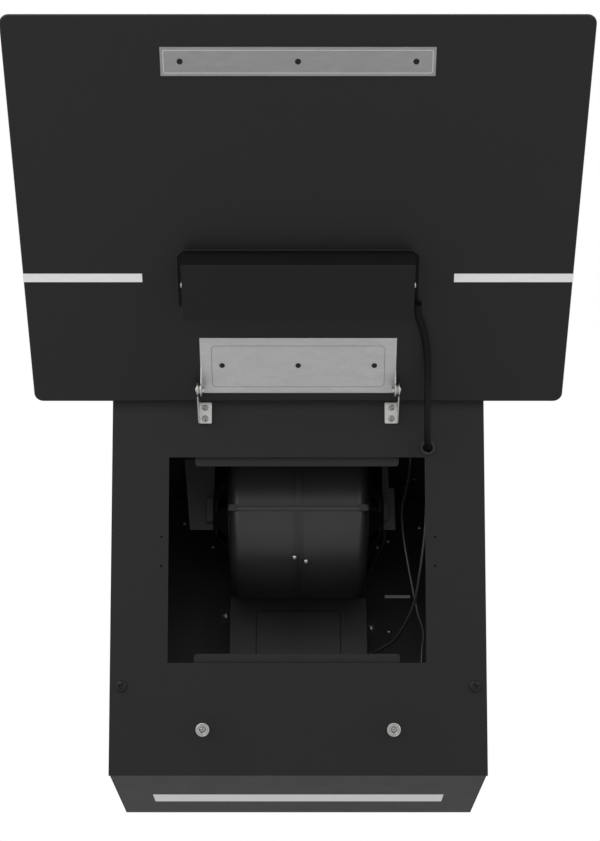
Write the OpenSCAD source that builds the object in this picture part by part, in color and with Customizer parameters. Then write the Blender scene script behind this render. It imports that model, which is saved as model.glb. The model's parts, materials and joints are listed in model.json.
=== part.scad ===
// Angled wall hood, 60 cm, with its glass front raised on two friction hinges.
// Millimetres. X is to the right, +Y goes into the wall and Z is up. The origin
// lies on the wall plane, at the middle of the casing's lower rear edge.

/* [Casing] */
// Height of the casing
casing_h = 415; // [410:1:440]
// Depth of the casing along its lower edge
casing_d = 191; // [188:1:215]
// Width across the two side panels
casing_w = 422; // [415:1:440]
// Lean of the front face from upright, in degrees
lean = 20; // [18:0.5:22]
// Thickness of the casing's sheet steel
sheet = 1.2; // [1:0.1:1.5]
// How far the front panel stands past each side
front_overhang = 1.5; // [0.5:0.5:3]

/* [Filter opening] */
// Width of the opening in the front panel
opening_w = 292; // [280:1:300]
// Height of the opening, measured up the slope
opening_h = 232.5; // [220:0.5:235]
// Distance up the slope from the lower edge to the opening
opening_low = 125; // [120:1:130]
// Sideways place of the opening's middle
opening_x = -1.5; // [-4:0.5:4]
// Width of the two rails that carry the filter
rail_w = 233; // [220:1:240]
// How far the top rail shows below the opening's edge
rail_show = 10; // [6:0.5:14]
// How far the rails are set back behind the front panel
rail_back = 5; // [4:0.5:8]

/* [Lamp] */
// Length of the lamp lens
lens_l = 341; // [320:1:350]
// Depth of the lamp lens
lens_d = 36; // [30:0.5:40]
// Distance from the wall to the middle of the lens
lens_y = 79; // [78:1:90]
// Thickness of the lens rim above the lower panel
lens_rim_t = 1.5; // [1:0.25:2]
// Number of light sources on the lamp board
led_count = 18; // [12:1:24]

/* [Blower] */
// Radius of the scroll housing
scroll_r = 102; // [100:1:107]
// Width of the scroll housing
scroll_w = 166; // [160:1:170]
// Wall of the scroll housing
scroll_wall = 2.5; // [2:0.25:3]
// Rounding between the scroll's rim and its sides
scroll_fillet = 14; // [8:1:16]
// Distance from the wall to the fan's axis
fan_back = 128; // [124:1:132]
// Distance from the top of the casing down to the fan's axis
fan_drop = 75; // [72:1:78]
// Slope of the plane where the two scroll halves meet, in degrees
split_tilt = 16; // [14:1:22]
// Outer radius of the fan wheel
wheel_r = 68; // [62:1:70]
// Length of the fan wheel
wheel_l = 132; // [124:1:136]
// Number of blades on the fan wheel
blade_count = 36; // [24:2:40]
// Radius of the motor
motor_r = 42; // [36:1:44]
// Radius of the fan shaft
shaft_r = 4; // [3.5:0.25:5]
// Radius of each air inlet in the scroll's sides
inlet_r = 50; // [46:1:52]

/* [Outlet] */
// Outer radius of the duct collar
collar_r = 75; // [74:0.5:76]
// Height of the duct collar above the casing
collar_h = 45; // [40:1:60]
// Wall of the duct collar
collar_wall = 2; // [2:0.25:2.5]
// Radius of the rods on which the flaps turn
rod_r = 1.5; // [1.25:0.25:2]
// Distance between the two flap rods
rod_gap = 8; // [7.5:0.5:10]

/* [Glass] */
// Width of the glass panel
glass_w = 600; // [590:1:610]
// Thickness of the glass panel
glass_t = 4; // [4:0.5:6]
// Radius of the glass panel's corners
glass_corner = 10; // [6:1:16]
// How far the closed glass stops above the casing's lower edge
glass_low = 9; // [0:1:12]
// Length of the glass past the hinge axis
glass_past = 22; // [18:1:24]
// Angle of the raised glass above its closed place, in degrees
raise_angle = 144; // [130:1:146]
// Length of each pale stripe
stripe_l = 130; // [110:1:140]
// Height of each pale stripe
stripe_h = 10; // [8:0.5:12]
// Distance from the hinge axis to the middle of the stripes
stripe_y = 133; // [125:1:150]

/* [Hinge] */
// Distance up the slope from the hinge axis to the casing's top edge
hinge_below_top = 10.4; // [8:0.2:14]
// Height of the hinge axis off the front panel
hinge_off = 34.6; // [33:0.2:37]
// Height of the hinge axis above the hinge plate
hinge_plate_off = 10; // [9:0.5:11]
// Thickness of the hinge plate, its ears and the arms
plate_t = 1.5; // [1.5:0.1:2]
// Width of the hinge plate
hinge_plate_w = 220; // [210:1:230]
// Height of the hinge plate
hinge_plate_h = 70; // [64:1:74]
// Radius of the hinge bolts
bolt_r = 2; // [2:0.25:3]
// Width of each arm's foot
foot_w = 15; // [14:0.5:18]
// Height of each arm's foot
foot_h = 24; // [22:0.5:26]

/* [Catches] */
// Distance up the slope from the lower edge to the catches
catch_up = 54.4; // [46:0.2:58]
// Distance of each catch from the middle
catch_x = 105; // [98:1:112]
// Radius of the catch magnets
magnet_r = 7.5; // [6:0.25:8]
// Height of the catch magnets
magnet_h = 8; // [6:0.5:10]
// Width of the catch plate on the glass
catch_plate_w = 280; // [260:1:290]
// Height of the catch plate
catch_plate_h = 30; // [26:1:34]
// Gap left between the closed catch plate and the magnets
catch_gap = 0.4; // [0.3:0.1:1]

/* [Controls] */
// Width of the control box cover
box_w = 250; // [236:1:256]
// Length of the control box up the glass
box_l = 66; // [60:1:70]
// Height of the control box off the hinge plate's level
box_t = 32; // [28:0.5:39]
// Distance from the hinge axis to the control box
box_y = 96.5; // [96:0.5:110]
// Wall of the control box
box_wall = 1; // [0.8:0.1:1.5]
// How far the box's base stands past each side of the cover
base_ledge = 7; // [7:0.5:9]
// Diameter of the control cable
cable_d = 7.5; // [6:0.25:7.5]

/* [Wall fixing] */
// Distance between the wall holes, sideways
wall_hole_dx = 370; // [360:1:380]
// Distance from the top of the casing down to the upper wall holes
wall_hole_drop = 35; // [30:1:55]
// Height of the lower wall holes
wall_hole_z = 60; // [50:1:62]
// Radius of the wall holes
wall_hole_r = 4; // [3:0.25:5]

/* [Hidden] */
$fn = 64;

// Clearances
fit = 0.05; // radial, round a turning shaft or a bolt
slip = 0.25; // beside a part that drops into a cut-out
play = 0.3; // between faces that move past each other

black = "#2c2c2c";
zinc = "#b4b4b2";

// Places that follow from the sizes above
face_l = casing_h / cos(lean);
front_t = sheet / cos(lean);
in_w = casing_w - 2 * sheet;
fan_y = -fan_back;
fan_z = casing_h - fan_drop;
top_z = casing_h - sheet;
hinge_up = face_l - hinge_below_top;
glass_l = hinge_up + glass_past - glass_low;
glass_back = -hinge_plate_off - plate_t;
opening_top = opening_low + opening_h;
washer_t = 2.5; // washer between each ear and its arm
arm_x = hinge_plate_w / 2 + washer_t;
catch_lift = 2.2; // the catch plate's middle lies this far above the magnets
catch_plate_y = hinge_up - catch_up - catch_lift;
post_h = hinge_off + hinge_plate_off - catch_gap - magnet_h;

function front_y(z) = -casing_d - z * tan(lean);
function inner_y(z) = front_y(z) + front_t;

// Draws in the front panel's plane: x sideways, y up the slope, z outwards.
module on_face(up = 0) translate([0, -casing_d, 0]) rotate([90 + lean, 0, 0]) translate([0, up, 0])
    children();

// Draws in the glass's plane: y from the hinge towards the far edge, z out of its back.
module on_glass() on_face(hinge_up) translate([0, 0, hinge_off]) rotate([180 - raise_angle, 0, 0])
    children();

// Draws round the fan's axis, which runs along X, with the split plane level.
module on_fan(tilt = 0) translate([0, fan_y, fan_z]) rotate([tilt, 0, 0]) children();

// Extrudes a (y, z) outline along X, about the middle.
module along_x(w) rotate([90, 0, 90]) linear_extrude(height = w, center = true) children();

// A rod along X, about the middle.
module rod_x(r, l) rotate([0, 90, 0]) cylinder(r = r, h = l, center = true);

module both_sides() for (side = [-1, 1]) scale_x(side) children();
module scale_x(side) if (side < 0) mirror([1, 0, 0]) children(); else children();

// A rectangle with round corners, made of squares and circles.
module round_rect(w, h, r) {
    square([w - 2 * r, h], center = true);
    square([w, h - 2 * r], center = true);
    for (x = [-1, 1], y = [-1, 1]) translate([x * (w / 2 - r), y * (h / 2 - r)]) circle(r);
}

// A screw head with its shank: pan head up, shank down from z = 0.
module screw(head_r, head_h, shank_r, shank_l) {
    difference() {
        union() {
            cylinder(r = head_r, h = head_h * 0.6);
            translate([0, 0, head_h * 0.6]) cylinder(r1 = head_r, r2 = head_r * 0.7, h = head_h * 0.4);
        }
        for (turn = [0, 90]) rotate(turn) translate([0, 0, head_h])
            cube([head_r * 1.1, head_r * 0.25, head_h], center = true);
    }
    translate([0, 0, -shank_l]) cylinder(r = shank_r, h = shank_l);
}

/* Casing panels */

small_hole_r = 1.2;
small_hole_x = opening_w / 2 + 9.5; // small holes beside the opening
small_hole_up = [234, 267];
panel_screw_x = 199.5;
panel_screw_up = 98.5;
foot_x = arm_x - foot_w / 2 + plate_t; // middle of an arm's foot
foot_up = hinge_up - 23; // middle of an arm's foot, up the slope
foot_screw_gap = 13;
foot_screw_r = 2;
grommet_x = 148;
grommet_up = hinge_up - 62.6;
grommet_r = 8.5;
grommet_hole_r = grommet_r - 2;

module front_panel() color(black) difference() {
    along_x(casing_w + 2 * front_overhang) polygon([[front_y(0), 0], [inner_y(0), 0],
        [inner_y(casing_h), casing_h], [front_y(casing_h), casing_h]]);
    on_face(opening_low + opening_h / 2) translate([opening_x, 0, 0])
        cube([opening_w, opening_h, 4 * sheet], center = true);
    on_face() {
        for (x = [-1, 1], up = small_hole_up) translate([x * small_hole_x, up, 0])
            cylinder(r = small_hole_r, h = 4 * sheet, center = true);
        for (x = [-1, 1]) {
            translate([x * panel_screw_x, panel_screw_up, 0])
                cylinder(r = panel_screw_r + fit, h = 4 * sheet, center = true);
            translate([x * catch_x, catch_up, 0])
                cylinder(r = post_stud_r + fit, h = 4 * sheet, center = true);
            for (up = [-0.5, 0.5]) translate([x * foot_x, foot_up + up * foot_screw_gap, 0])
                cylinder(r = foot_screw_r + fit, h = 4 * sheet, center = true);
        }
        translate([grommet_x, grommet_up, 0]) cylinder(r = grommet_hole_r + fit, h = 4 * sheet, center = true);
    }
}

module side_panel(side) color(black) translate([side * (casing_w - sheet) / 2, 0, 0]) along_x(sheet)
    polygon([[0, 0], [inner_y(0), 0], [inner_y(casing_h), casing_h], [0, casing_h]]);

module side_panel_left() side_panel(-1);
module side_panel_right() side_panel(1);

module lower_panel() color(black) difference() {
    along_x(in_w) polygon([[0, 0], [inner_y(0), 0], [inner_y(sheet), sheet], [0, sheet]]);
    translate([0, -lens_y, 0]) cube([lens_l + 2 * slip, lens_d + 2 * slip, 4 * sheet], center = true);
}

slot_x = 129; // cable slot in the back plate, closed by a foam strip
slot_z = casing_h - 136;
slot_w = 33;
slot_h = 4;

module back_plate() color(black) difference() {
    translate([-in_w / 2, -sheet, sheet]) cube([in_w, sheet, casing_h - 2 * sheet]);
    for (x = [-0.5, 0.5], z = [wall_hole_z, casing_h - wall_hole_drop])
        translate([x * wall_hole_dx, 0, z]) rotate([90, 0, 0])
            cylinder(r = wall_hole_r, h = 4 * sheet, center = true);
    translate([slot_x, 0, slot_z]) cube([slot_w, 4 * sheet, slot_h], center = true);
}

module slot_strip() color("#8a8a88") translate([slot_x, -sheet / 2, slot_z])
    cube([slot_w - 2 * fit, sheet, slot_h - 2 * fit], center = true);

outlet_r = collar_r - collar_wall;
gland_x = 140;
gland_y = -60;
gland_r = 8; // threaded neck of the gland

module top_plate() color(black) difference() {
    along_x(in_w) polygon([[0, top_z], [inner_y(top_z), top_z], [inner_y(casing_h), casing_h],
        [0, casing_h]]);
    translate([0, fan_y, casing_h]) cylinder(r = outlet_r, h = 4 * sheet, center = true);
    translate([gland_x, gland_y, casing_h]) cylinder(r = gland_r + fit, h = 4 * sheet, center = true);
}

/* Filter rails: strips set back behind the opening, hooked to the front panel */

rail_t = 1;
rail_hidden = 14; // height of a rail behind the front panel
rail_corner = 4;

module filter_rail(show) {
    h = show + rail_hidden;
    // the strip, with its two exposed corners rounded
    translate([opening_x - rail_w / 2, 0, -rail_back - rail_t]) linear_extrude(height = rail_t) {
        translate([0, rail_corner]) square([rail_w, h - rail_corner]);
        translate([rail_corner, 0]) square([rail_w - 2 * rail_corner, rail_corner]);
        for (x = [rail_corner, rail_w - rail_corner]) translate([x, rail_corner]) circle(rail_corner);
    }
    // the web that joins it to the front panel
    translate([opening_x - rail_w / 2, h - rail_t, -rail_back]) cube([rail_w, rail_t, rail_back - sheet]);
}

module filter_rail_top() color("#3a3a3a") on_face(opening_top - rail_show) filter_rail(rail_show);
module filter_rail_low() color("#3a3a3a") on_face(opening_low + rail_show) mirror([0, 1, 0])
    filter_rail(rail_show);

/* Lamp in the lower panel */

rim_over = 3; // the lens rim lies on the panel this far past the cut-out
channel_h = 16;
channel_wall = 1;
board_t = 1.6;
board_l = lens_l - 8;
board_d = lens_d - 10;
led_side = 3;
led_h = 0.8;

module lamp_lens() color("#e8e8e4") {
    translate([-lens_l / 2, -lens_y - lens_d / 2, 0]) cube([lens_l, lens_d, sheet + lens_rim_t]);
    translate([-lens_l / 2 - rim_over, -lens_y - lens_d / 2 - rim_over, sheet])
        cube([lens_l + 2 * rim_over, lens_d + 2 * rim_over, lens_rim_t]);
}

channel_l = lens_l + 2 * rim_over + 2 * slip + 2 * channel_wall;
channel_d = lens_d + 2 * rim_over + 2 * slip + 2 * channel_wall;

module lamp_channel() color("silver") translate([0, -lens_y, sheet]) difference() {
    translate([-channel_l / 2, -channel_d / 2, 0]) cube([channel_l, channel_d, channel_h]);
    translate([-channel_l / 2 + channel_wall, -channel_d / 2 + channel_wall, -1])
        cube([channel_l - 2 * channel_wall, channel_d - 2 * channel_wall, channel_h - channel_wall + 1]);
}

module lamp_board() color("#f2f0e6") translate([0, -lens_y, sheet + channel_h - channel_wall - board_t]) {
    translate([-board_l / 2, -board_d / 2, 0]) cube([board_l, board_d, board_t]);
    for (i = [0 : led_count - 1]) translate([(i + 0.5 - led_count / 2) * board_l / led_count, 0, -led_h / 2])
        cube([led_side, led_side, led_h], center = true);
}

driver_x = 146;
driver_y = -132;
driver_size = [50, 40, 24];
driver_notch = [36, 4, 4];

module lamp_driver() color("#d9d9d6") translate([driver_x, driver_y, sheet]) difference() {
    translate([-driver_size.x / 2, -driver_size.y / 2, 0]) cube(driver_size);
    for (y = [-0.5, 0.5]) translate([0, y * driver_size.y, driver_size.z]) cube(driver_notch, center = true);
}

/* Power box on the back plate, with its embossed cover */

power_w = 173;
power_d = 44;
power_z = 90;
power_top = fan_z - 78;
power_wall = 1;
tab_w = 15;
tab_h = 20;
tab_places = [[-1, power_top - 9.5], [1, power_top - 25.5]]; // side and height of each fixing tab
tab_screw_x = (power_w + tab_w) / 2;
tab_screw_r = 2;
motor_in_x = 76; // hole for the motor lead in the box's top
motor_in_y = -28;
motor_in_r = 2.2;

module power_box() color("#3c3c3c") {
    difference() {
        translate([-power_w / 2, -sheet - power_d + power_wall, power_z])
            cube([power_w, power_d - power_wall, power_top - power_z]);
        translate([-power_w / 2 + power_wall, -sheet - power_d, power_z + power_wall])
            cube([power_w - 2 * power_wall, power_d - power_wall, power_top - power_z - 2 * power_wall]);
        translate([power_w / 2, lead_in_y, lead_in_z]) rod_x(lead_in_r, 4 * power_wall);
        translate([motor_in_x, motor_in_y, power_top])
            cylinder(r = motor_in_r, h = 4 * power_wall, center = true);
    }
    for (tab = tab_places) difference() {
        translate([tab[0] * (power_w + tab_w) / 2 - tab_w / 2, -sheet - power_wall, tab[1] - tab_h / 2])
            cube([tab_w, power_wall, tab_h]);
        translate([tab[0] * tab_screw_x, 0, tab[1]]) rotate([90, 0, 0])
            cylinder(r = tab_screw_r + fit, h = 4 * (power_wall + sheet), center = true);
    }
}

emboss_w = 108;
emboss_top = power_top - 17;
emboss_rise = 0.8;

module power_cover() color("#3c3c3c") translate([0, -sheet - power_d, 0]) {
    translate([-power_w / 2, 0, power_z]) cube([power_w, power_wall, power_top - power_z]);
    translate([-emboss_w / 2, -emboss_rise, emboss_top - emboss_w]) cube([emboss_w, emboss_rise, emboss_w]);
}

circuit_w = 120; // the circuit board stands this far off the box's floor, on four studs
circuit_z = power_z + 20;
circuit_h = power_top - power_z - 62;
circuit_off = 4.4;
stud_in = 6;
stud_r = 3;
transformer = [34, 20, 28];
relay = [40, 14, 12];
can_r = 8;
can_h = 22;

module power_board() color("#2f6b3a") translate([0, -sheet - power_wall - circuit_off, circuit_z])
    rotate([90, 0, 0]) {
        translate([-circuit_w / 2, 0, 0]) cube([circuit_w, circuit_h, board_t]);
        for (x = [-1, 1], y = [stud_in, circuit_h - stud_in])
            translate([x * (circuit_w / 2 - stud_in), y, -circuit_off]) cylinder(r = stud_r, h = circuit_off);
        translate([-transformer.x - stud_in, stud_in * 3, board_t])
            cube([transformer.x, transformer.z, transformer.y]);
        translate([stud_in, circuit_h - relay.z * 3, board_t]) cube([relay.x, relay.z, relay.y]);
        translate([stud_in * 3, circuit_h / 3, board_t]) cylinder(r = can_r, h = can_h);
    }

module power_screws() color(zinc) for (tab = tab_places)
    translate([tab[0] * tab_screw_x, -sheet - power_wall, tab[1]]) rotate([90, 0, 0])
        screw(4.2, 2.6, tab_screw_r, power_wall);

/* Cable inlet in the top plate */

gland_bore = 4.2;

module mains_gland() color("#202020") translate([gland_x, gland_y, 0]) difference() {
    union() {
        translate([0, 0, top_z - 5]) cylinder(r = gland_r, h = 5 + sheet + 4);
        translate([0, 0, casing_h]) cylinder(r = 13, h = 6, $fn = 6);
        translate([0, 0, casing_h + 6]) cylinder(r1 = 10, r2 = 7.5, h = 10);
        translate([0, 0, top_z - 5]) cylinder(r = 12, h = 5, $fn = 6);
    }
    translate([0, 0, top_z - 10]) cylinder(r = gland_bore, h = 40);
}

/* Blower: two moulded halves, the guards over its inlets, motor, shaft and wheel */

// The drum with rounded rims, as a revolved outline.
module drum(r, w, fillet) rotate([0, 90, 0]) rotate_extrude() {
    translate([0, -w / 2]) square([r - fillet, w]);
    translate([0, -w / 2 + fillet]) square([r, w - 2 * fillet]);
    for (y = [-1, 1]) translate([r - fillet, y * (w / 2 - fillet)]) intersection() {
        circle(fillet);
        translate([0, -fillet]) square([fillet, 2 * fillet]);
    }
}

lip_up = 1.2; // height of the upper half's joining lip, and of the lower one's
lip_down = 4.6;
lip_corner = 4;
lip_out = 2.5; // how far the lips stand out from the rim
lip_side = 1.5; // and from the sides
rib_out = 2.2;
rib_w = 7.4;
rib_wall = 1.4; // width of each of the twin ribs
rib_end = 55; // the lower ribs stop this many degrees below level
seam = 0.35; // half the gap between the two halves

module scroll_shell() difference() {
    drum(scroll_r, scroll_w, scroll_fillet);
    drum(scroll_r - scroll_wall, scroll_w - 2 * scroll_wall, scroll_fillet - scroll_wall);
    rod_x(inlet_r, scroll_w + 2);
}

// One half's joining lips, on the upper side of the split plane. They run round the housing and
// leave room for the inlet guards.
module scroll_lips(h) difference() {
    translate([0, 0, seam]) linear_extrude(height = h)
        round_rect(scroll_w + 2 * lip_side, 2 * (scroll_r + lip_out), lip_corner);
    drum(scroll_r - scroll_wall / 2, scroll_w - scroll_wall, scroll_fillet - scroll_wall / 2);
    rod_x(guard_r + guard_rim + play, 2 * scroll_w);
}

module ring_rib(x, w) translate([x, 0, 0]) difference() {
    rod_x(scroll_r + rib_out, w);
    rod_x(scroll_r - 1, w + 1);
}

top_rim = 8; // flange round the outlet, under the top plate
top_rim_t = 2.5;

module scroll_upper() color("#343434") {
    intersection() {
        on_fan(split_tilt) {
            scroll_shell();
            intersection() {
                ring_rib(0, rib_w);
                translate([-rib_w, -2 * scroll_r, 0]) cube([2 * rib_w, 2 * scroll_r, 2 * scroll_r]);
            }
        }
        translate([-scroll_w, fan_y - 2 * scroll_r, 0]) cube([2 * scroll_w, 4 * scroll_r, top_z - top_rim_t / 2]);
        on_fan(split_tilt) translate([-scroll_w, -2 * scroll_r, seam])
            cube([2 * scroll_w, 4 * scroll_r, 2 * scroll_r]);
    }
    on_fan(split_tilt) scroll_lips(lip_up);
    difference() {
        translate([-scroll_w / 2 - top_rim, fan_y - outlet_r - 2 * top_rim, top_z - top_rim_t])
            cube([scroll_w + 2 * top_rim, 2 * outlet_r + 4 * top_rim, top_rim_t]);
        translate([0, fan_y, top_z]) cylinder(r = outlet_r, h = 4 * top_rim_t, center = true);
    }
}

module scroll_lower() color("#343434") difference() {
    scroll_lower_solid();
    for (place = boss_places) boss_place(place) translate([0, 0, -boss_in - 1])
        cylinder(r = boss_screw_r + fit, h = boss_in + boss_h + 2);
}

module scroll_lower_solid() {
    on_fan(split_tilt) {
        intersection() {
            scroll_shell();
            translate([-scroll_w, -2 * scroll_r, -2 * scroll_r])
                cube([2 * scroll_w, 4 * scroll_r, 2 * scroll_r - seam]);
        }
        mirror([0, 0, 1]) scroll_lips(lip_down);
        // twin ribs down the middle of the front, and the bosses that end them
        intersection() {
            for (x = [-1, 1]) ring_rib(x * (rib_w - rib_wall) / 2, rib_wall);
            translate([-rib_w, -2 * scroll_r, -2 * scroll_r]) cube([2 * rib_w, 2 * scroll_r, 2 * scroll_r - seam]);
            rotate([rib_end - split_tilt - 90, 0, 0]) translate([-rib_w, -2 * scroll_r, -2 * scroll_r])
                cube([2 * rib_w, 4 * scroll_r, 2 * scroll_r]);
        }
    }
    for (place = boss_places) boss_place(place) translate([0, 0, -boss_in])
        cylinder(r = boss_r, h = boss_in + boss_h);
}

boss_places = [[-4.5, 50.5], [9, 53.5]]; // sideways place of each boss, and its angle below level
boss_r = 3.4;
boss_h = 2.4;
boss_in = 3.5;
boss_screw_r = 1.2;
module boss_place(place) on_fan() rotate([place[1] - 90, 0, 0]) rotate([180, 0, 0])
    translate([place[0], 0, scroll_r]) children();

clip_w = 8;
clip_t = 0.8;
clip_grip = 1.6; // how far a clip reaches in over the lips

// Spring clips over both lips, at their front and rear corners.
module scroll_clips() color("#1c1c1c") on_fan(split_tilt)
    for (x = [-1, 1], side = [0, 180])
        translate([x * (scroll_w / 2 + lip_side - lip_corner - clip_w / 2), 0, 0]) rotate(side)
            translate([0, scroll_r + lip_out, -lip_down - seam - clip_t]) difference() {
                translate([-clip_w / 2, -clip_grip, 0])
                    cube([clip_w, clip_grip + play + clip_t, lip_up + lip_down + 2 * (seam + clip_t)]);
                translate([-clip_w, -clip_grip - 1, clip_t - fit])
                    cube([2 * clip_w, clip_grip + 1 + play, lip_up + lip_down + 2 * (seam + fit)]);
            }

module scroll_screws() color(zinc) for (place = boss_places) boss_place(place) translate([0, 0, boss_h])
    screw(2.6, 2, boss_screw_r, boss_in);

guard_r = 56;
guard_rim = 3; // width of the ring by which a guard lies on the scroll's side
guard_hub_r = 26;
guard_rise = 22;
guard_t = 2;
bell_l = 12; // how far the inlet's mouth reaches into the scroll
spoke_count = 6;

// A cone of spokes over an inlet, drawn on the right-hand side.
module inlet_guard(hub_bore) color("#2a2a2a") on_fan() translate([scroll_w / 2, 0, 0]) difference() {
    union() {
        rotate([0, 90, 0]) rotate_extrude() polygon([[guard_r, 0], [guard_r + guard_rim, 0],
            [guard_r + guard_rim, guard_t], [guard_r, guard_t], [guard_hub_r, guard_rise],
            [0, guard_rise], [0, guard_rise - guard_t],
            [guard_hub_r - 1, guard_rise - guard_t], [guard_r - guard_rim, guard_t / 2],
            [guard_r - guard_rim, 0]]);
        rotate([0, 90, 0]) translate([0, 0, -bell_l]) difference() {
            cylinder(r = inlet_r - fit, h = bell_l + 1);
            translate([0, 0, -1]) cylinder(r = inlet_r - guard_t, h = bell_l + 3);
        }
        rotate([0, 90, 0]) difference() {
            cylinder(r = guard_r, h = 1);
            translate([0, 0, -1]) cylinder(r = inlet_r - guard_t, h = 3);
        }
    }
    for (i = [0 : spoke_count - 1]) rotate([i * 360 / spoke_count, 0, 0])
        translate([guard_t / 2 + 1, guard_hub_r + 4, -8]) cube([guard_rise, guard_r - guard_hub_r - 8, 16]);
    rod_x(hub_bore, 3 * guard_rise);
}

module inlet_guard_right() inlet_guard(shaft_r + 3);
module inlet_guard_left() mirror([1, 0, 0]) inlet_guard(shaft_r + 3);

motor_x0 = 10; // inner end of the motor
motor_x1 = 62;
tail_r = 20;
guard_in = scroll_w / 2 + guard_rise - guard_t; // inner face of a guard's hub

module fan_motor() color("#8c8c88") on_fan() difference() {
    union() {
        translate([(motor_x0 + motor_x1) / 2, 0, 0]) rod_x(motor_r, motor_x1 - motor_x0);
        translate([(motor_x1 + guard_in) / 2, 0, 0]) rod_x(tail_r, guard_in - motor_x1);
    }
    rod_x(shaft_r + fit, 4 * guard_in);
}

disc_t = 2; // middle disc of the wheel
hub_l = 18;
hub_r = 12;
shaft_x0 = -hub_l;
shaft_x1 = motor_x1 + 20;

module fan_shaft() color("silver") on_fan() translate([(shaft_x0 + shaft_x1) / 2, 0, 0])
    rod_x(shaft_r, shaft_x1 - shaft_x0);

blade_in = wheel_r - 13;
blade_t = 0.8;
end_ring = 3;

module fan_wheel() color("#3a3d40") on_fan() {
    difference() {
        union() {
            rod_x(wheel_r, disc_t);
            translate([-hub_l / 2, 0, 0]) rod_x(hub_r, hub_l);
        }
        rod_x(shaft_r + fit / 2, 4 * hub_l);
    }
    for (side = [-1, 1]) translate([side * (wheel_l - end_ring) / 2, 0, 0]) difference() {
        rod_x(wheel_r, end_ring);
        rod_x(blade_in, end_ring + 2);
    }
    for (i = [0 : blade_count - 1]) rotate([i * 360 / blade_count, 0, 0])
        translate([0, 0, (blade_in + wheel_r) / 2]) rotate([28, 0, 0])
            cube([wheel_l - end_ring, blade_t, wheel_r - blade_in - 1], center = true);
}

/* Hangers that hold the guards to the top plate */

hanger_y = -137;
hanger_t = 1.2;
hanger_x = scroll_w / 2 + guard_rise;
hanger_low = fan_z - 22;
hanger_foot = 12;
hanger_top_w = 39; // width of the left hanger at its top, where it is widest
hanger_low_w = 29;
hanger_neck_w = 8; // width of the right hanger above its step
hanger_step_w = 15;
hanger_step = 40; // distance of that step below the top plate
clamp_left = [8, 12, 30];
clamp_right = [6, 10, 24];

module hanger(outline) {
    translate([0, hanger_y + hanger_t, 0]) rotate([90, 0, 0]) linear_extrude(height = hanger_t) polygon(outline);
}

module hanger_left() color("#4a4a4a") {
    hanger([[-hanger_x - hanger_top_w, top_z], [-hanger_x - hanger_low_w, hanger_low], [-hanger_x, hanger_low],
        [-hanger_x, top_z]]);
    translate([-hanger_x - hanger_low_w, hanger_y, top_z - hanger_t]) cube([hanger_low_w, hanger_foot, hanger_t]);
    // the clamp block between the hanger and the guard's hub
    translate([-hanger_x, hanger_y - clamp_left.y, fan_z - clamp_left.z / 2]) mirror([1, 0, 0]) cube(clamp_left);
}

module hanger_right() color("#4a4a4a") {
    hanger([[hanger_x, top_z], [hanger_x + hanger_neck_w, top_z],
        [hanger_x + hanger_neck_w, top_z - hanger_step], [hanger_x + hanger_step_w, top_z - hanger_step],
        [hanger_x + hanger_step_w, hanger_low], [hanger_x, hanger_low]]);
    translate([hanger_x, hanger_y, top_z - hanger_t]) cube([hanger_neck_w, hanger_foot, hanger_t]);
    translate([hanger_x, hanger_y - clamp_right.y, fan_z - clamp_right.z / 2]) cube(clamp_right);
}

capacitor_r = 11;
capacitor_l = 30;
capacitor_stud_r = 4;
capacitor_stud_l = 6;

module motor_capacitor() color("#d8d4c8")
    translate([-hanger_x - capacitor_r - 3, hanger_y + hanger_t, fan_z + 12]) rotate([-90, 0, 0]) {
        cylinder(r = capacitor_r, h = capacitor_l);
        cylinder(r = capacitor_stud_r, h = capacitor_l + capacitor_stud_l);
    }

/* Duct collar with two non-return flaps */

flange_r = 88;
flange_t = 2;
flap_z = casing_h + 20;
flap_t = 1.5;
knuckle_r = rod_r + 1.2;
stop_in = 4; // how far the stop ring stands in from the collar's wall
flap_r = outlet_r - 1.2;

module duct_collar() color("#1f1f1f") translate([0, fan_y, 0]) difference() {
    union() {
        translate([0, 0, casing_h]) cylinder(r = flange_r, h = flange_t);
        translate([0, 0, casing_h]) cylinder(r = collar_r, h = collar_h);
    }
    translate([0, 0, casing_h - 1]) cylinder(r = outlet_r - stop_in, h = collar_h + 2);
    translate([0, 0, flap_z - flap_t / 2 - play]) cylinder(r = outlet_r, h = collar_h);
    translate([0, 0, casing_h - 1]) cylinder(r = outlet_r, h = flap_z - casing_h - 3);
    for (side = [-0.5, 0.5]) translate([0, side * rod_gap, flap_z]) rod_x(rod_r + fit, 2 * outlet_r + 2);
}

module flap_rods() color("silver") for (side = [-0.5, 0.5])
    translate([0, fan_y + side * rod_gap, flap_z]) rod_x(rod_r, 2 * outlet_r + 1.6);

knuckle_l = 2 * (outlet_r - stop_in - 2);

// A half disc with the tube that turns on the rod, drawn on the rear side.
module flap() color("#33363a") translate([0, rod_gap / 2, 0]) difference() {
    union() {
        intersection() {
            translate([0, -rod_gap / 2, -flap_t / 2]) cylinder(r = flap_r, h = flap_t);
            translate([-flap_r, 0, -flap_t]) cube([2 * flap_r, flap_r, 2 * flap_t]);
        }
        rod_x(knuckle_r, knuckle_l);
    }
    rod_x(rod_r + fit, 2 * flap_r);
}

module flap_rear() translate([0, fan_y, flap_z]) flap();
module flap_front() translate([0, fan_y, flap_z]) mirror([0, 1, 0]) flap();

/* Leads inside the casing */

function unit(v) = v / norm(v);
function turned(p, i) = unit(p[min(i + 1, len(p) - 1)] - p[max(i - 1, 0)]);
// The side vector of each ring, carried along the route so that the tube doesn't twist.
function sides(p, i = 0, last = [1, 0.03, 0.02]) = i == len(p) ? [] :
    let(d = turned(p, i), s = unit(last - (last * d) * d)) concat([s], sides(p, i + 1, s));
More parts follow.
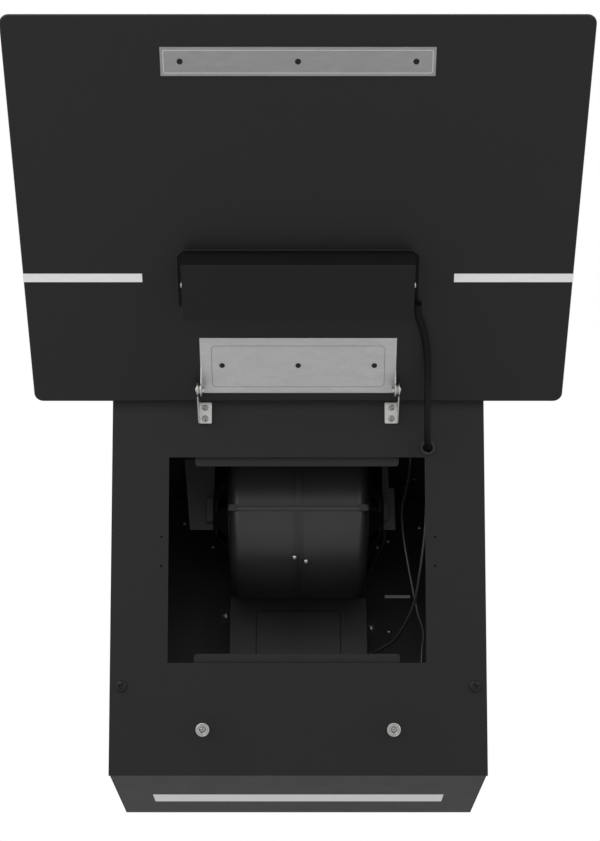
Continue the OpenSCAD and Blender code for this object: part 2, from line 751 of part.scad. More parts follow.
// A point of the curve through the route's points, between point i and the next.
function on_curve(p, i, t) = let(a = p[max(i - 1, 0)], b = p[i], c = p[i + 1], d = p[min(i + 2, len(p) - 1)])
    b + t / 2 * (c - a) + t * t / 2 * (2 * a - 5 * b + 4 * c - d) + t * t * t / 2 * (3 * (b - c) + d - a);
function curve(p, steps) = concat([for (i = [0 : len(p) - 2], k = [0 : steps - 1]) on_curve(p, i, k / steps)],
    [p[len(p) - 1]]);

module tube(route, r, steps = 3, around = 8) {
    p = curve(route, steps);
    s = sides(p);
    points = [for (i = [0 : len(p) - 1]) let(d = turned(p, i), u = cross(d, s[i]))
        for (k = [0 : around - 1]) p[i] + r * (cos(k * 360 / around) * s[i] + sin(k * 360 / around) * u)];
    last = (len(p) - 1) * around;
    faces = concat([[for (k = [0 : around - 1]) k]],
        [for (i = [0 : len(p) - 2], k = [0 : around - 1]) let(a = i * around, n = (k + 1) % around)
            [a + k, a + around + k, a + around + n]],
        [for (i = [0 : len(p) - 2], k = [0 : around - 1]) let(a = i * around, n = (k + 1) % around)
            [a + k, a + around + n, a + n]],
        [[for (k = [around - 1 : -1 : 0]) last + k]]);
    polyhedron(points, faces);
}

lead_in_y = -30;
lead_in_z = 190;
lead_in_r = 9;
panel_route = [[148, -315, 347.5], [148, -307, 349.5], [148, -300, 344.5], [148.5, -293, 328], [148, -282, 303],
    [147, -267, 276], [145, -250, 254], [141, -220, 226],
    [137, -190, 206], [128, -150, 192], [117, -110, 185], [104, -75, 186], [93, -45, 189], [80, -31, 190]];
lamp_route = [[145, -313, 351], [144, -302, 360], [143, -283, 379], [141, -255, 396], [140, -222, 405],
    [140, -195, 406], [139, -174, 400], [137, -165, 380], [132, -164, 356], [127, -165, 333], [128, -163, 300],
    [132, -160, 269], [138, -153, 235], [144, -146, 205], [150, -140, 185], [148, -130, 160], [146, -128, 120],
    [146, -130, 80], [146, -132, 50], [146, -132, 26]];
motor_route = [[106.1, -127, 328], [107.5, -118, 325], [108, -104, 319], [104, -88, 312], [98, -74, 304],
    [92, -61, 293], [86.5, -47, 282], [80, -35, 273], [76.5, -29, 267], [76, -28, 262], [76, -28, 252]];

module panel_lead() color("#222222") tube(panel_route, 1.8);
module lamp_lead() color("#222222") tube(lamp_route, 1.5);
module motor_lead() color("#222222") tube(motor_route, 1.5);

saddle_y = -208; // saddle that holds the lamp lead under the top plate
saddle_x = 140;
saddle_size = [10, 8, 11.8];
saddle_bore = 2;

module lead_saddle() color("#1c1c1c") translate([saddle_x, saddle_y, top_z - saddle_size.z]) difference() {
    translate([-saddle_size.x / 2, -saddle_size.y / 2, 0]) cube(saddle_size);
    translate([0, 0, 2 * saddle_bore]) rotate([90, 0, 0])
        cylinder(r = saddle_bore, h = 2 * saddle_size.y, center = true);
}

/* Grommet, catches and black screws on the front panel */

module cable_grommet() color("#161616") on_face(grommet_up) translate([grommet_x, 0, 0]) difference() {
    union() {
        translate([0, 0, -sheet - 2]) cylinder(r = grommet_hole_r, h = sheet + 4);
        cylinder(r = grommet_r, h = 2);
        translate([0, 0, -sheet - 2]) cylinder(r = grommet_r, h = 2);
    }
    translate([0, 0, -10]) cylinder(r = grommet_bore, h = 20);
}

grommet_bore = 5.2;
post_r = 3.25;
post_stud_r = 2.5;
post_nut_r = 5;
post_nut_t = 3;

module catch_posts() color(zinc) on_face(catch_up) for (x = [-1, 1]) translate([x * catch_x, 0, 0]) {
    cylinder(r = post_r, h = post_h);
    translate([0, 0, -sheet - post_nut_t]) {
        cylinder(r = post_stud_r, h = sheet + post_nut_t);
        cylinder(r = post_nut_r, h = post_nut_t, $fn = 6);
    }
}

pot_wall = 1.2;
magnet_bore = 2;

module catch_magnets() color("#c9c9c9") on_face(catch_up) for (x = [-1, 1])
    translate([x * catch_x, 0, post_h]) difference() {
        cylinder(r = magnet_r, h = magnet_h);
        translate([0, 0, magnet_h - 0.6]) difference() {
            cylinder(r = magnet_r - pot_wall, h = 1);
            cylinder(r = magnet_r - pot_wall - 0.7, h = 3, center = true);
        }
        translate([0, 0, magnet_h - 2.4]) cylinder(r = catch_head_r + fit, h = 3);
        cylinder(r = magnet_bore + fit, h = 3 * magnet_h, center = true);
    }

catch_head_r = 3.2;

module catch_screws() color(zinc) on_face(catch_up) for (x = [-1, 1])
    translate([x * catch_x, 0, post_h + magnet_h - 2.4]) screw(catch_head_r, 2, magnet_bore, magnet_h - 2.4);

panel_screw_r = 2;

module panel_screws() color("#1a1a1a") on_face(panel_screw_up) for (x = [-1, 1])
    translate([x * panel_screw_x, 0, 0]) screw(6.5, 3, panel_screw_r, sheet + 6);

/* Hinge: two arms on the casing, the plate on the glass, and the bolts between them */

arm_top = 8; // radius of the arm and the ears round the bolt
foot_t = 2;
foot_corner = 1.2;
arm_front = foot_up - hinge_up + foot_h / 2; // the arm's upper edge, seen from the bolt
arm_neck = 14; // height off the front panel at which the arm bends towards the bolt
arm_root = 7; // height of the arm at the foot's lower end
glass_side = 90 - raise_angle; // direction from the bolt to the raised glass
arm_eye = arm_top - 0.6; // the arm's edges run into its round end just inside it

module hinge_arm() color(zinc) {
    // the foot on the front panel, drawn for the right-hand arm
    difference() {
        on_face(foot_up) translate([arm_x + plate_t - foot_w / 2, 0, 0]) linear_extrude(height = foot_t)
            round_rect(foot_w, foot_h, foot_corner);
        on_face(foot_up) for (up = [-0.5, 0.5]) translate([foot_x, up * foot_screw_gap, 0])
            cylinder(r = foot_screw_r + fit, h = 10, center = true);
    }
    difference() {
        at_bolt() translate([arm_x, 0, 0]) rotate([90, 0, 90]) linear_extrude(height = plate_t) {
            // the arm passes below the glass's edge, then runs beside the glass to the bolt
            polygon([[foot_up - hinge_up - foot_h / 2, -hinge_off], [arm_front, -hinge_off],
                [arm_front, -hinge_off + arm_neck], [arm_eye * cos(glass_side), arm_eye * sin(glass_side)],
                [0, 0], [-arm_eye, 0], [foot_up - hinge_up - foot_h / 2, -hinge_off + arm_root]]);
            circle(arm_top);
        }
        on_face(hinge_up) translate([arm_x, 0, hinge_off]) rod_x(bolt_r + fit, 10 * plate_t);
    }
}

module hinge_arm_right() hinge_arm();
module hinge_arm_left() mirror([1, 0, 0]) hinge_arm();

module arm_screws() color(zinc) both_sides() for (up = [-0.5, 0.5])
    on_face(foot_up + up * foot_screw_gap) translate([foot_x, 0, foot_t])
        screw(3.8, 2, foot_screw_r, foot_t + sheet + 4);

module at_bolt() on_face(hinge_up) translate([0, 0, hinge_off]) children();

ear_x = hinge_plate_w / 2; // outer face of the ears
nut_t = 3.2;
nut_r = 4.05;
head_t = 2;
head_r = 3.7;
washer_r = 4.5;

module hinge_bolts() color(zinc) both_sides() at_bolt() {
    translate([arm_x + plate_t, 0, 0]) rotate([0, 90, 0]) {
        cylinder(r = head_r, h = head_t * 0.5);
        translate([0, 0, head_t * 0.5]) cylinder(r1 = head_r, r2 = head_r * 0.65, h = head_t * 0.5);
    }
    translate([ear_x - plate_t - play - nut_t, 0, 0]) rotate([0, 90, 0])
        cylinder(r = bolt_r, h = arm_x + plate_t - ear_x + plate_t + play + nut_t);
}

module hinge_washers() color("#e4e4e0") both_sides() at_bolt()
    translate([ear_x + play / 3, 0, 0]) rotate([0, 90, 0]) difference() {
        cylinder(r = washer_r, h = washer_t - play / 3);
        translate([0, 0, -1]) cylinder(r = bolt_r + fit, h = 2 * washer_t);
    }

module hinge_nuts() color(zinc) both_sides() at_bolt()
    translate([ear_x - plate_t - play / 3 - nut_t, 0, 0]) rotate([0, 90, 0]) difference() {
        cylinder(r = nut_r, h = nut_t, $fn = 6);
        translate([0, 0, -1]) cylinder(r = bolt_r + fit, h = 2 * nut_t);
    }

ear_reach = 16; // how far up the glass each ear runs past the bolt
plate_hole_r = 3.1;
plate_y0 = -10; // the hinge plate's lower edge, seen from the bolts
hinge_holes_x = [-85.5, 0, 85.5];
hinge_hole_y = 25.1;

module hinge_plate() color("#a2a2a0") on_glass() {
    difference() {
        translate([-hinge_plate_w / 2, plate_y0, -hinge_plate_off - plate_t])
            cube([hinge_plate_w, hinge_plate_h, plate_t]);
        for (x = hinge_holes_x) translate([x, hinge_hole_y, -hinge_plate_off])
            cylinder(r = plate_hole_r, h = 4 * plate_t, center = true);
    }
    for (side = [-1, 1]) difference() {
        translate([side * (ear_x - plate_t / 2), 0, 0]) along_x(plate_t) {
            polygon([[-arm_top, -hinge_plate_off - plate_t / 2], [-arm_top, 0], [arm_top, 0],
                [arm_top + ear_reach, -hinge_plate_off - plate_t / 2]]);
            circle(arm_top);
        }
        translate([side * ear_x, 0, 0]) rod_x(bolt_r + fit, 4 * plate_t);
    }
}

/* Glass front and what is fixed on its back */

module glass_panel() color("#2c2c2c") on_glass()
    translate([0, glass_l / 2 - glass_past, glass_back - glass_t]) linear_extrude(height = glass_t)
        round_rect(glass_w, glass_l, glass_corner);

stripe_t = 0.4;

module glass_stripes() color("#d6d6d6") on_glass() for (side = [-1, 1])
    translate([side * (glass_w - stripe_l) / 2, stripe_y, glass_back + stripe_t / 2])
        cube([stripe_l, stripe_h, stripe_t], center = true);

catch_holes_x = [-120, 0, 120];

module catch_plate() color("#9a9a98") on_glass() translate([0, catch_plate_y, glass_back]) difference() {
    translate([-catch_plate_w / 2, -catch_plate_h / 2, 0]) cube([catch_plate_w, catch_plate_h, plate_t]);
    for (x = catch_holes_x) translate([x, 0, 0]) cylinder(r = plate_hole_r, h = 4 * plate_t, center = true);
}

base_w = box_w + 2 * base_ledge;
cover_z = glass_back + box_wall; // underside of the cover
ear_in = box_wall + 0.1; // the base's ears stand inside the cover's ends
ear_h = 22;
base_y0 = box_y + 2; // the base starts just inside the cover's lower wall
base_y1 = box_y + box_l + 4; // and runs a little past its upper wall
base_chamfer = 7;
side_screw_y = box_y + 35;
side_screw_z = cover_z + 14;

module control_base() color("#262626") on_glass() difference() {
    union() {
        translate([0, 0, glass_back]) linear_extrude(height = box_wall) polygon([[-base_w / 2, base_y0],
            [base_w / 2, base_y0], [base_w / 2, base_y1 - base_chamfer], [base_w / 2 - base_chamfer, base_y1],
            [-base_w / 2 + base_chamfer, base_y1], [-base_w / 2, base_y1 - base_chamfer]]);
        for (side = [-1, 1])
            translate([side * (box_w / 2 - ear_in - box_wall / 2), box_y + box_l / 2, cover_z + ear_h / 2])
                cube([box_wall, box_l - 12, ear_h], center = true);
    }
    translate([0, side_screw_y, side_screw_z]) rod_x(side_screw_r + fit, 2 * box_w);
}

side_screw_r = 1.5;

module control_cover() color("#232323") on_glass() difference() {
    translate([-box_w / 2, box_y, cover_z]) cube([box_w, box_l, box_t - box_wall]);
    translate([-box_w / 2 + box_wall, box_y + box_wall, cover_z - 1])
        cube([box_w - 2 * box_wall, box_l - 2 * box_wall, box_t - 2 * box_wall + 1]);
    translate([0, side_screw_y, side_screw_z]) rod_x(side_screw_r + fit, 2 * box_w);
}

module control_screws() color(zinc) on_glass() both_sides()
    translate([box_w / 2, side_screw_y, side_screw_z]) rotate([0, 90, 0])
        screw(3.6, 3, side_screw_r, 2 * box_wall + 3);

panel_board = [180, 40]; // the board stands on studs, with five touch pads under it
panel_off = 5;
pad_count = 5;
pad_gap = 30;
pad_r = 6;
plug_socket = [36, 14, 12];

module control_board() color("#2f6b3a") on_glass() translate([0, box_y + box_l / 2, cover_z]) {
    translate([-panel_board.x / 2, -panel_board.y / 2, panel_off]) cube([panel_board.x, panel_board.y, board_t]);
    for (x = [-1, 1], y = [-1, 1])
        translate([x * (panel_board.x / 2 - stud_in), y * (panel_board.y / 2 - stud_in), 0])
            cylinder(r = stud_r, h = panel_off);
    for (i = [0 : pad_count - 1]) translate([(i - (pad_count - 1) / 2) * pad_gap, 0, 0])
        cylinder(r = pad_r, h = panel_off);
    translate([panel_board.y, -plug_socket.y, panel_off + board_t]) cube(plug_socket);
}

/* Control cable: from the boot on the box's side to the grommet */

boot_x = box_w / 2 + 6;
boot_y0 = box_y - 2;
boot_l = 10;
boot_z = glass_back + box_wall + cable_d / 2 + 1;

module cable_boot() color("#161616") on_glass() difference() {
    translate([box_w / 2, boot_y0, cover_z]) cube([boot_x - box_w / 2 + cable_d / 2 + 1, boot_l, cable_d + 2]);
    translate([boot_x, boot_y0 - 1, boot_z]) rotate([-90, 0, 0]) cylinder(r = cable_d / 2 + 0.6, h = 9);
}

cable_route = [[131, -449, 453], [132.5, -441, 447.5], [137.5, -429, 439.5], [142, -414, 428.5],
    [144, -401, 416.5], [145, -389, 403.5], [145, -379, 389], [145, -371, 373], [145, -363, 358],
    [145, -353, 346], [146, -341, 340.5], [147, -329, 342.5], [148, -316, 347]];

module control_cable() color("#101010") tube(cable_route, cable_d / 2, 2, 10);

front_panel();
side_panel_left();
side_panel_right();
lower_panel();
back_plate();
slot_strip();
top_plate();
filter_rail_top();
filter_rail_low();
lamp_lens();
lamp_board();
lamp_channel();
lamp_driver();
power_box();
power_cover();
power_board();
power_screws();
mains_gland();
scroll_upper();
scroll_lower();
scroll_clips();
scroll_screws();
inlet_guard_left();
inlet_guard_right();
fan_motor();
fan_shaft();
fan_wheel();
hanger_left();
hanger_right();
motor_capacitor();
duct_collar();
flap_rods();
flap_front();
flap_rear();
motor_lead();
panel_lead();
lamp_lead();
lead_saddle();
cable_grommet();
catch_posts();
catch_magnets();
catch_screws();
panel_screws();
hinge_arm_left();
hinge_arm_right();
arm_screws();
hinge_bolts();
hinge_washers();
hinge_nuts();
control_cable();
cable_boot();
glass_panel();
glass_stripes();
hinge_plate();
catch_plate();
control_base();
control_cover();
control_board();
control_screws();
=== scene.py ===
# %% [markdown]
# # A wall hood with its glass raised
# This notebook dresses the CAD model of a 60 cm angled wall hood. The CAD gives each piece its real size and
# place, and the cells below give each piece the surface that it has on the real hood: powder-coated steel, printed
# glass, galvanised plates, moulded plastic, rubber and cable. Nothing here moves a CAD piece.

# %% Load the frame
import json
from math import cos, pi, radians, sin

import bmesh
import bpy
from mathutils import Matrix, Vector


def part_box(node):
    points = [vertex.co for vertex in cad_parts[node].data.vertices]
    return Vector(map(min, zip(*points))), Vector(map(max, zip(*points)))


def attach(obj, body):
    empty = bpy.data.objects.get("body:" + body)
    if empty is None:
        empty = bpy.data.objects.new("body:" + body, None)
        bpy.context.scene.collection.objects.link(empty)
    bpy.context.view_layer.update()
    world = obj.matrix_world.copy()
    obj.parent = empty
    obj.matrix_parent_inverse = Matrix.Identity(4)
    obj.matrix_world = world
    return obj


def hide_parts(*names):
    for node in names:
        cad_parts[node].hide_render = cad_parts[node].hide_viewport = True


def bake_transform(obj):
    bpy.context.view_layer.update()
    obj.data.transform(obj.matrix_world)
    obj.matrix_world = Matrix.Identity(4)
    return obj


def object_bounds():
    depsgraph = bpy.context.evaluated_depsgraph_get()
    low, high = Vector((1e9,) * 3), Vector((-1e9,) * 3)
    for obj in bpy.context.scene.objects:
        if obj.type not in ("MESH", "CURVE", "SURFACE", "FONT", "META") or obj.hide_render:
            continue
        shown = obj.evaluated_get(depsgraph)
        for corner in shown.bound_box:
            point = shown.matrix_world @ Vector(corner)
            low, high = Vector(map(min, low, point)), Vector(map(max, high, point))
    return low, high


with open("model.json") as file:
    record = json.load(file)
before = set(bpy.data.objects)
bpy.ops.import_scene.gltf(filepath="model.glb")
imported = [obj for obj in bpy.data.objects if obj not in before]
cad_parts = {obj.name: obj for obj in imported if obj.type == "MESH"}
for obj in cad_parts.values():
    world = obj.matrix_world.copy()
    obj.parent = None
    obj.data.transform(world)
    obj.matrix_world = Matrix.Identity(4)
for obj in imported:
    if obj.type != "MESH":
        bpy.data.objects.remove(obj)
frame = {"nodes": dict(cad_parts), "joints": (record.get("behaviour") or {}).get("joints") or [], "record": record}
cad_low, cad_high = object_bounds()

scene = bpy.context.scene
scene.view_settings.view_transform = "Standard"
print("CAD box in millimetres:", [round(side * 1000) for side in cad_high - cad_low])

# %% [markdown]
# ## The camera
# The hood is seen from the kitchen, from a little below its lower edge, looking up. The photograph is 600 by 841
# pixels, and its straight edges give the focal length and the place of the lens. A portrait picture puts the
# sensor's long side upright, so the lens follows from the picture's height.

# %% Place the camera
picture_h = 841
focal_pixels = 1600
camera_data = bpy.data.cameras.new("camera")
camera_data.sensor_width = 36
camera_data.lens = camera_data.sensor_width * focal_pixels / picture_h
camera = bpy.data.objects.new("camera", camera_data)
camera.location = (0.002, -1.977, -0.423)
camera.rotation_euler = (radians(90 + 25.84), 0, 0)
scene.collection.objects.link(camera)
scene.camera = camera
print("lens in millimetres:", round(camera_data.lens, 1))

# %% [markdown]
# ## Working planes
# Most pieces lie on one of two slanted planes: the leaning front of the casing, and the back of the raised glass.
# Each plane gets a matrix that turns local millimetres into metres in the hood's frame, so a piece can be drawn
# flat and still land on its seat. The glass's plane starts at the hinge, whose place comes from the frame. A third
# plane is the inner face of the casing's back plate.

# %% Make the planes
MM = 0.001
joints = {joint["name"]: joint for joint in frame["joints"]}
hinge = Vector(joints["glass_hinge"]["pos_m"])
raise_angle = joints["glass_hinge"]["range_deg"][1]
casing_depth = 191
casing_height = 415
sheet = 1.2
lean = 20


def plane(origin, tilt):
    """A slanted plane: x sideways, y up the slope, z outwards, in millimetres."""
    return Matrix.Translation(origin) @ Matrix.Rotation(radians(tilt), 4, "X") @ Matrix.Scale(MM, 4)


face_plane = plane((0, -casing_depth * MM, 0), 90 + lean)
glass_plane = plane(hinge, 90 + lean + 180 - raise_angle)
back_plane = plane((0, -sheet * MM, 0), 90)
face_l = casing_height / cos(radians(lean))
hinge_below_top = 10.4
hinge_up = face_l - hinge_below_top
glass_t = 4
glass_back = -11.5
glass_past = 22


def axis_of(matrix):
    """The direction in which a plane's z points."""
    return matrix.to_3x3().col[2].normalized()


print("the glass's back faces", [round(part, 2) for part in axis_of(glass_plane)])

# %% [markdown]
# ## Meshes from loops
# Sheet metal, glass and moulded covers are all stacks of rounded outlines, so one function lofts a stack of loops.
# A second one sweeps a circle along a route for cables. The sweep carries its side vector from ring to ring, which
# keeps the tube from twisting. A third turns a profile round an axis, as a lathe does.

# %% Mesh helpers
def rounded_loop(width, height, corner, z, arc=6, middle=(0, 0)):
    """A rectangle with round corners, as points that run anticlockwise."""
    points = []
    for quarter in range(4):
        turn = quarter * pi / 2
        side_x = 1 if quarter in (0, 3) else -1
        side_y = 1 if quarter < 2 else -1
        for step in range(arc + 1):
            angle = turn + step * pi / 2 / arc
            points.append(Vector((
                middle[0] + side_x * (width / 2 - corner) + corner * cos(angle),
                middle[1] + side_y * (height / 2 - corner) + corner * sin(angle), z)))
    return points


def loft(loops, ring=False):
    """A closed shape through loops of as many points each. Its ends are capped, or joined in a ring."""
    shape = bmesh.new()
    rings = [[shape.verts.new(point) for point in loop] for loop in loops]
    count = len(rings[0])
    for low, high in zip(rings, rings[1:] + (rings[:1] if ring else [])):
        for i in range(count):
            j = (i + 1) % count
            shape.faces.new((low[i], low[j], high[j], high[i]))
    if not ring:
        shape.faces.new(reversed(rings[0]))
        shape.faces.new(rings[-1])
    bmesh.ops.recalc_face_normals(shape, faces=shape.faces)
    return shape


def on_route(points, steps):
    """Points along the smooth curve through a route, the same curve as the CAD cables follow."""
    found = []
    for i in range(len(points) - 1):
        a, b, c, d = points[max(i - 1, 0)], points[i], points[i + 1], points[min(i + 2, len(points) - 1)]
        for step in range(steps):
            t = step / steps
            found.append(b + t / 2 * (c - a) + t * t / 2 * (2 * a - 5 * b + 4 * c - d)
                         + t ** 3 / 2 * (3 * (b - c) + d - a))
    return found + [points[-1]]


def tube(path, radius, sides=16):
    """A closed tube along a path."""
    side = Vector((1, 0.03, 0.02))
    loops = []
    for i, point in enumerate(path):
        ahead = (path[min(i + 1, len(path) - 1)] - path[max(i - 1, 0)]).normalized()
        side = (side - side.dot(ahead) * ahead).normalized()
        across = ahead.cross(side)
        loops.append([point + radius * (cos(2 * pi * k / sides) * side + sin(2 * pi * k / sides) * across)
                      for k in range(sides)])
    return loft(loops)


def lathe(profile, sides=48):
    """Turns a profile of (radius, z) points round z. It starts and ends on the axis, or else it closes on itself."""
    shape = bmesh.new()
    rings = [[shape.verts.new((r * cos(2 * pi * k / sides), r * sin(2 * pi * k / sides), z))
              for k in range(sides if r else 1)] for r, z in profile]
    for low, high in zip(rings, rings[1:] + (rings[:1] if profile[0][0] else [])):
        for k in range(sides):
            corners = (low[k % len(low)], low[(k + 1) % len(low)], high[(k + 1) % len(high)], high[k % len(high)])
            shape.faces.new(list(dict.fromkeys(corners)))
    bmesh.ops.recalc_face_normals(shape, faces=shape.faces)
    return shape


# %% [markdown]
# ## Pieces and bodies
# A finished mesh becomes a piece that rides on a body of the frame and hides the CAD node that it stands for. Edges
# sharper than 35 degrees stay crisp. The rest is shaded smooth, with normals weighted by face area: a flat sheet
# with a narrow rounded edge then looks flat up to its edge.

# %% Piece helpers
body_by_node = {node: body for body, nodes in frame["record"]["behaviour"]["bodies"].items() for node in nodes}
crisp = radians(35)


def applied(thing):
    """Bakes an object's modifiers into its mesh."""
    bpy.context.view_layer.update()
    graph = bpy.context.evaluated_depsgraph_get()
    mesh = bpy.data.meshes.new_from_object(thing.evaluated_get(graph))
    thing.modifiers.clear()
    thing.data = mesh


def piece(name, shape, finishes, node=None, body=None, matrix=None, cutters=()):
    """Turns a bmesh into a named piece, cuts its holes with other closed meshes, and ties it to its body."""
    mesh = bpy.data.meshes.new(name)
    if matrix:
        bmesh.ops.transform(shape, matrix=matrix, verts=shape.verts)
    shape.to_mesh(mesh)
    shape.free()
    for finish in finishes:
        mesh.materials.append(finish)
    made = bpy.data.objects.new(name, mesh)
    scene.collection.objects.link(made)
    for cutter in cutters:
        cut = made.modifiers.new("cut", "BOOLEAN")
        cut.object = cutter
        cut.solver = "EXACT"
    if cutters:
        applied(made)
    for cutter in cutters:
        bpy.data.objects.remove(cutter)
    made.data.shade_smooth()
    made.data.set_sharp_from_angle(angle=crisp)
    flat = made.modifiers.new("flat", "WEIGHTED_NORMAL")
    flat.keep_sharp = True
    applied(made)
    if node:
        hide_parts(node)
    if body or node:
        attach(made, body or body_by_node[node])
    return made


def merged(node):
    """A copy of a CAD node's mesh with its triangles joined into whole faces."""
    shape = bmesh.new()
    shape.from_mesh(frame["nodes"][node].data)
    bmesh.ops.remove_doubles(shape, verts=shape.verts, dist=2e-6)
    bmesh.ops.dissolve_limit(shape, angle_limit=radians(0.8), verts=shape.verts, edges=shape.edges)
    return shape


def eased(node, width, finishes, steps=2, cutters=(), edge_finish=0):
    """A copy of a CAD node whose sharp edges are rounded, as a press, a mould or a file leaves them.

    edge_finish is the place in finishes of the one that the rounded edges take. Where it is paler, it is a painted
    highlight.
    """
    shape = merged(node)
    edges = [edge for edge in shape.edges if len(edge.link_faces) == 2 and edge.calc_face_angle() > crisp]
    bmesh.ops.bevel(shape, geom=edges, offset=width * MM, offset_type="OFFSET", segments=steps, profile=0.5,
                    affect="EDGES", clamp_overlap=True, material=edge_finish)
    return piece("dressed_" + node, shape, finishes, node, cutters=cutters)


print("bodies:", sorted(set(body_by_node.values())))

# %% [markdown]
# ## The control cable
# One round cable, 7.5 mm thick, leaves the control box on the glass and goes into a rubber grommet in the casing.
# It has to bend when the glass closes. Here its tube is swept once, along the route of the raised glass, and rides
# on no body. The route repeats the CAD's own points.

# %% Sweep the control cable
cable_d = 7.5
cable_route = [Vector(point) for point in (
    (131, -449, 453), (132.5, -441, 447.5), (137.5, -429, 439.5), (142, -414, 428.5), (144, -401, 416.5),
    (145, -389, 403.5), (145, -379, 389), (145, -371, 373), (145, -363, 358), (145, -353, 346),
    (146, -341, 340.5), (147, -329, 342.5), (148, -316, 347))]
cable_path = [point * MM for point in on_route(cable_route, 6)]
cable = piece("control_cable_flex", tube(cable_path, cable_d / 2 * MM, 20), [])
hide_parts("control_cable")
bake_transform(cable)

# %% [markdown]
# ## Finishes
# Every finish is one Principled shader with patterns in real millimetres. Colours are written as sRGB hex values,
# the way a paint shop would name them, and turned to linear light by one function. Patterns read Object
# coordinates, so they stay with the piece.

# %% Finish helpers
def linear(hex_colour):
    """An sRGB hex colour as linear light."""
    parts = [int(hex_colour[i:i + 2], 16) / 255 for i in (1, 3, 5)]
    return (*[part / 12.92 if part <= 0.04045 else ((part + 0.055) / 1.055) ** 2.4 for part in parts], 1)


def per_mm(size):
    """The texture scale whose grains are this many millimetres wide."""
    return 1 / (size * MM)


def add(tree, kind, settings=None, **inputs):
    """Adds a node, sets it, and fills or links its inputs. An underscore in a name stands for a space."""
    node = tree.nodes.new(kind)
    for name, value in (settings or {}).items():
        setattr(node, name, value)
    for name, value in inputs.items():
        key = int(name[1:]) if name[0] == "_" else name.replace("_", " ")
        if isinstance(value, bpy.types.NodeSocket):
            tree.links.new(value, node.inputs[key])
        else:
            node.inputs[key].default_value = value
    return node


def finish(name, colour, spread, grain, roughness, metallic=0.0, specular=0.5, peel=0.0, peel_size=1.0,
           streak=None, coat=0.0, dust=None, flecks=0.0):
    """A material whose colour, roughness and relief vary over the surface.

    colour and spread are the two hex colours between which it varies, and grain is the size of that variation.
    peel is the depth of its relief and peel_size its width, both in millimetres. streak draws the pattern out
    along one axis, as brushing or rolling does. dust is the hex colour of the dust that settles on faces that
    look up, and flecks is how much the crystals of a zinc coat differ in brightness.
    """
    made = bpy.data.materials.new(name)
    made.use_nodes = True
    tree = made.node_tree
    tree.nodes.clear()
    place = add(tree, "ShaderNodeTexCoord").outputs["Object"]
    if streak:
        place = add(tree, "ShaderNodeMapping", Vector=place, Scale=streak).outputs[0]
    cloud = add(tree, "ShaderNodeTexNoise", Vector=place, Scale=per_mm(grain), Detail=3.0, Roughness=0.6)
    mix = add(tree, "ShaderNodeMix", {"data_type": "RGBA"}, Factor=cloud.outputs[0])
    mix.inputs[6].default_value = linear(colour)
    mix.inputs[7].default_value = linear(spread)
    skin_colour = mix.outputs[2]
    dull = add(tree, "ShaderNodeMapRange", Value=cloud.outputs[0], To_Min=roughness - 0.05,
               To_Max=roughness + 0.05).outputs[0]
    if flecks:
        crystal = add(tree, "ShaderNodeTexVoronoi", Vector=place, Scale=per_mm(grain * 2))
        shade = add(tree, "ShaderNodeMapRange", Value=crystal.outputs["Color"], To_Min=1 - flecks, To_Max=1 + flecks)
        tinted = add(tree, "ShaderNodeMix", {"data_type": "RGBA", "blend_type": "MULTIPLY"}, Factor=1.0)
        tree.links.new(skin_colour, tinted.inputs[6])
        tree.links.new(shade.outputs[0], tinted.inputs[7])
        skin_colour = tinted.outputs[2]
    if dust:
        facing = add(tree, "ShaderNodeSeparateXYZ", Vector=add(tree, "ShaderNodeNewGeometry").outputs["Normal"])
        settled = add(tree, "ShaderNodeMapRange", Value=facing.outputs["Z"], From_Min=0.55, To_Max=0.35)
        patchy = add(tree, "ShaderNodeMath", {"operation": "MULTIPLY"}, _0=settled.outputs[0], _1=cloud.outputs[0])
        dusty = add(tree, "ShaderNodeMix", {"data_type": "RGBA"}, Factor=patchy.outputs[0])
        tree.links.new(skin_colour, dusty.inputs[6])
        dusty.inputs[7].default_value = linear(dust)
        skin_colour = dusty.outputs[2]
    shader = add(tree, "ShaderNodeBsdfPrincipled", Base_Color=skin_colour, Roughness=dull,
                 Metallic=metallic, Specular_IOR_Level=specular, Coat_Weight=coat)
    if peel:
        skin = add(tree, "ShaderNodeTexNoise", Vector=place, Scale=per_mm(peel_size), Detail=2.0)
        bump = add(tree, "ShaderNodeBump", Height=skin.outputs[0], Strength=1.0, Distance=peel * MM)
        tree.links.new(bump.outputs[0], shader.inputs["Normal"])
    out = add(tree, "ShaderNodeOutputMaterial")
    tree.links.new(shader.outputs[0], out.inputs["Surface"])
    return made
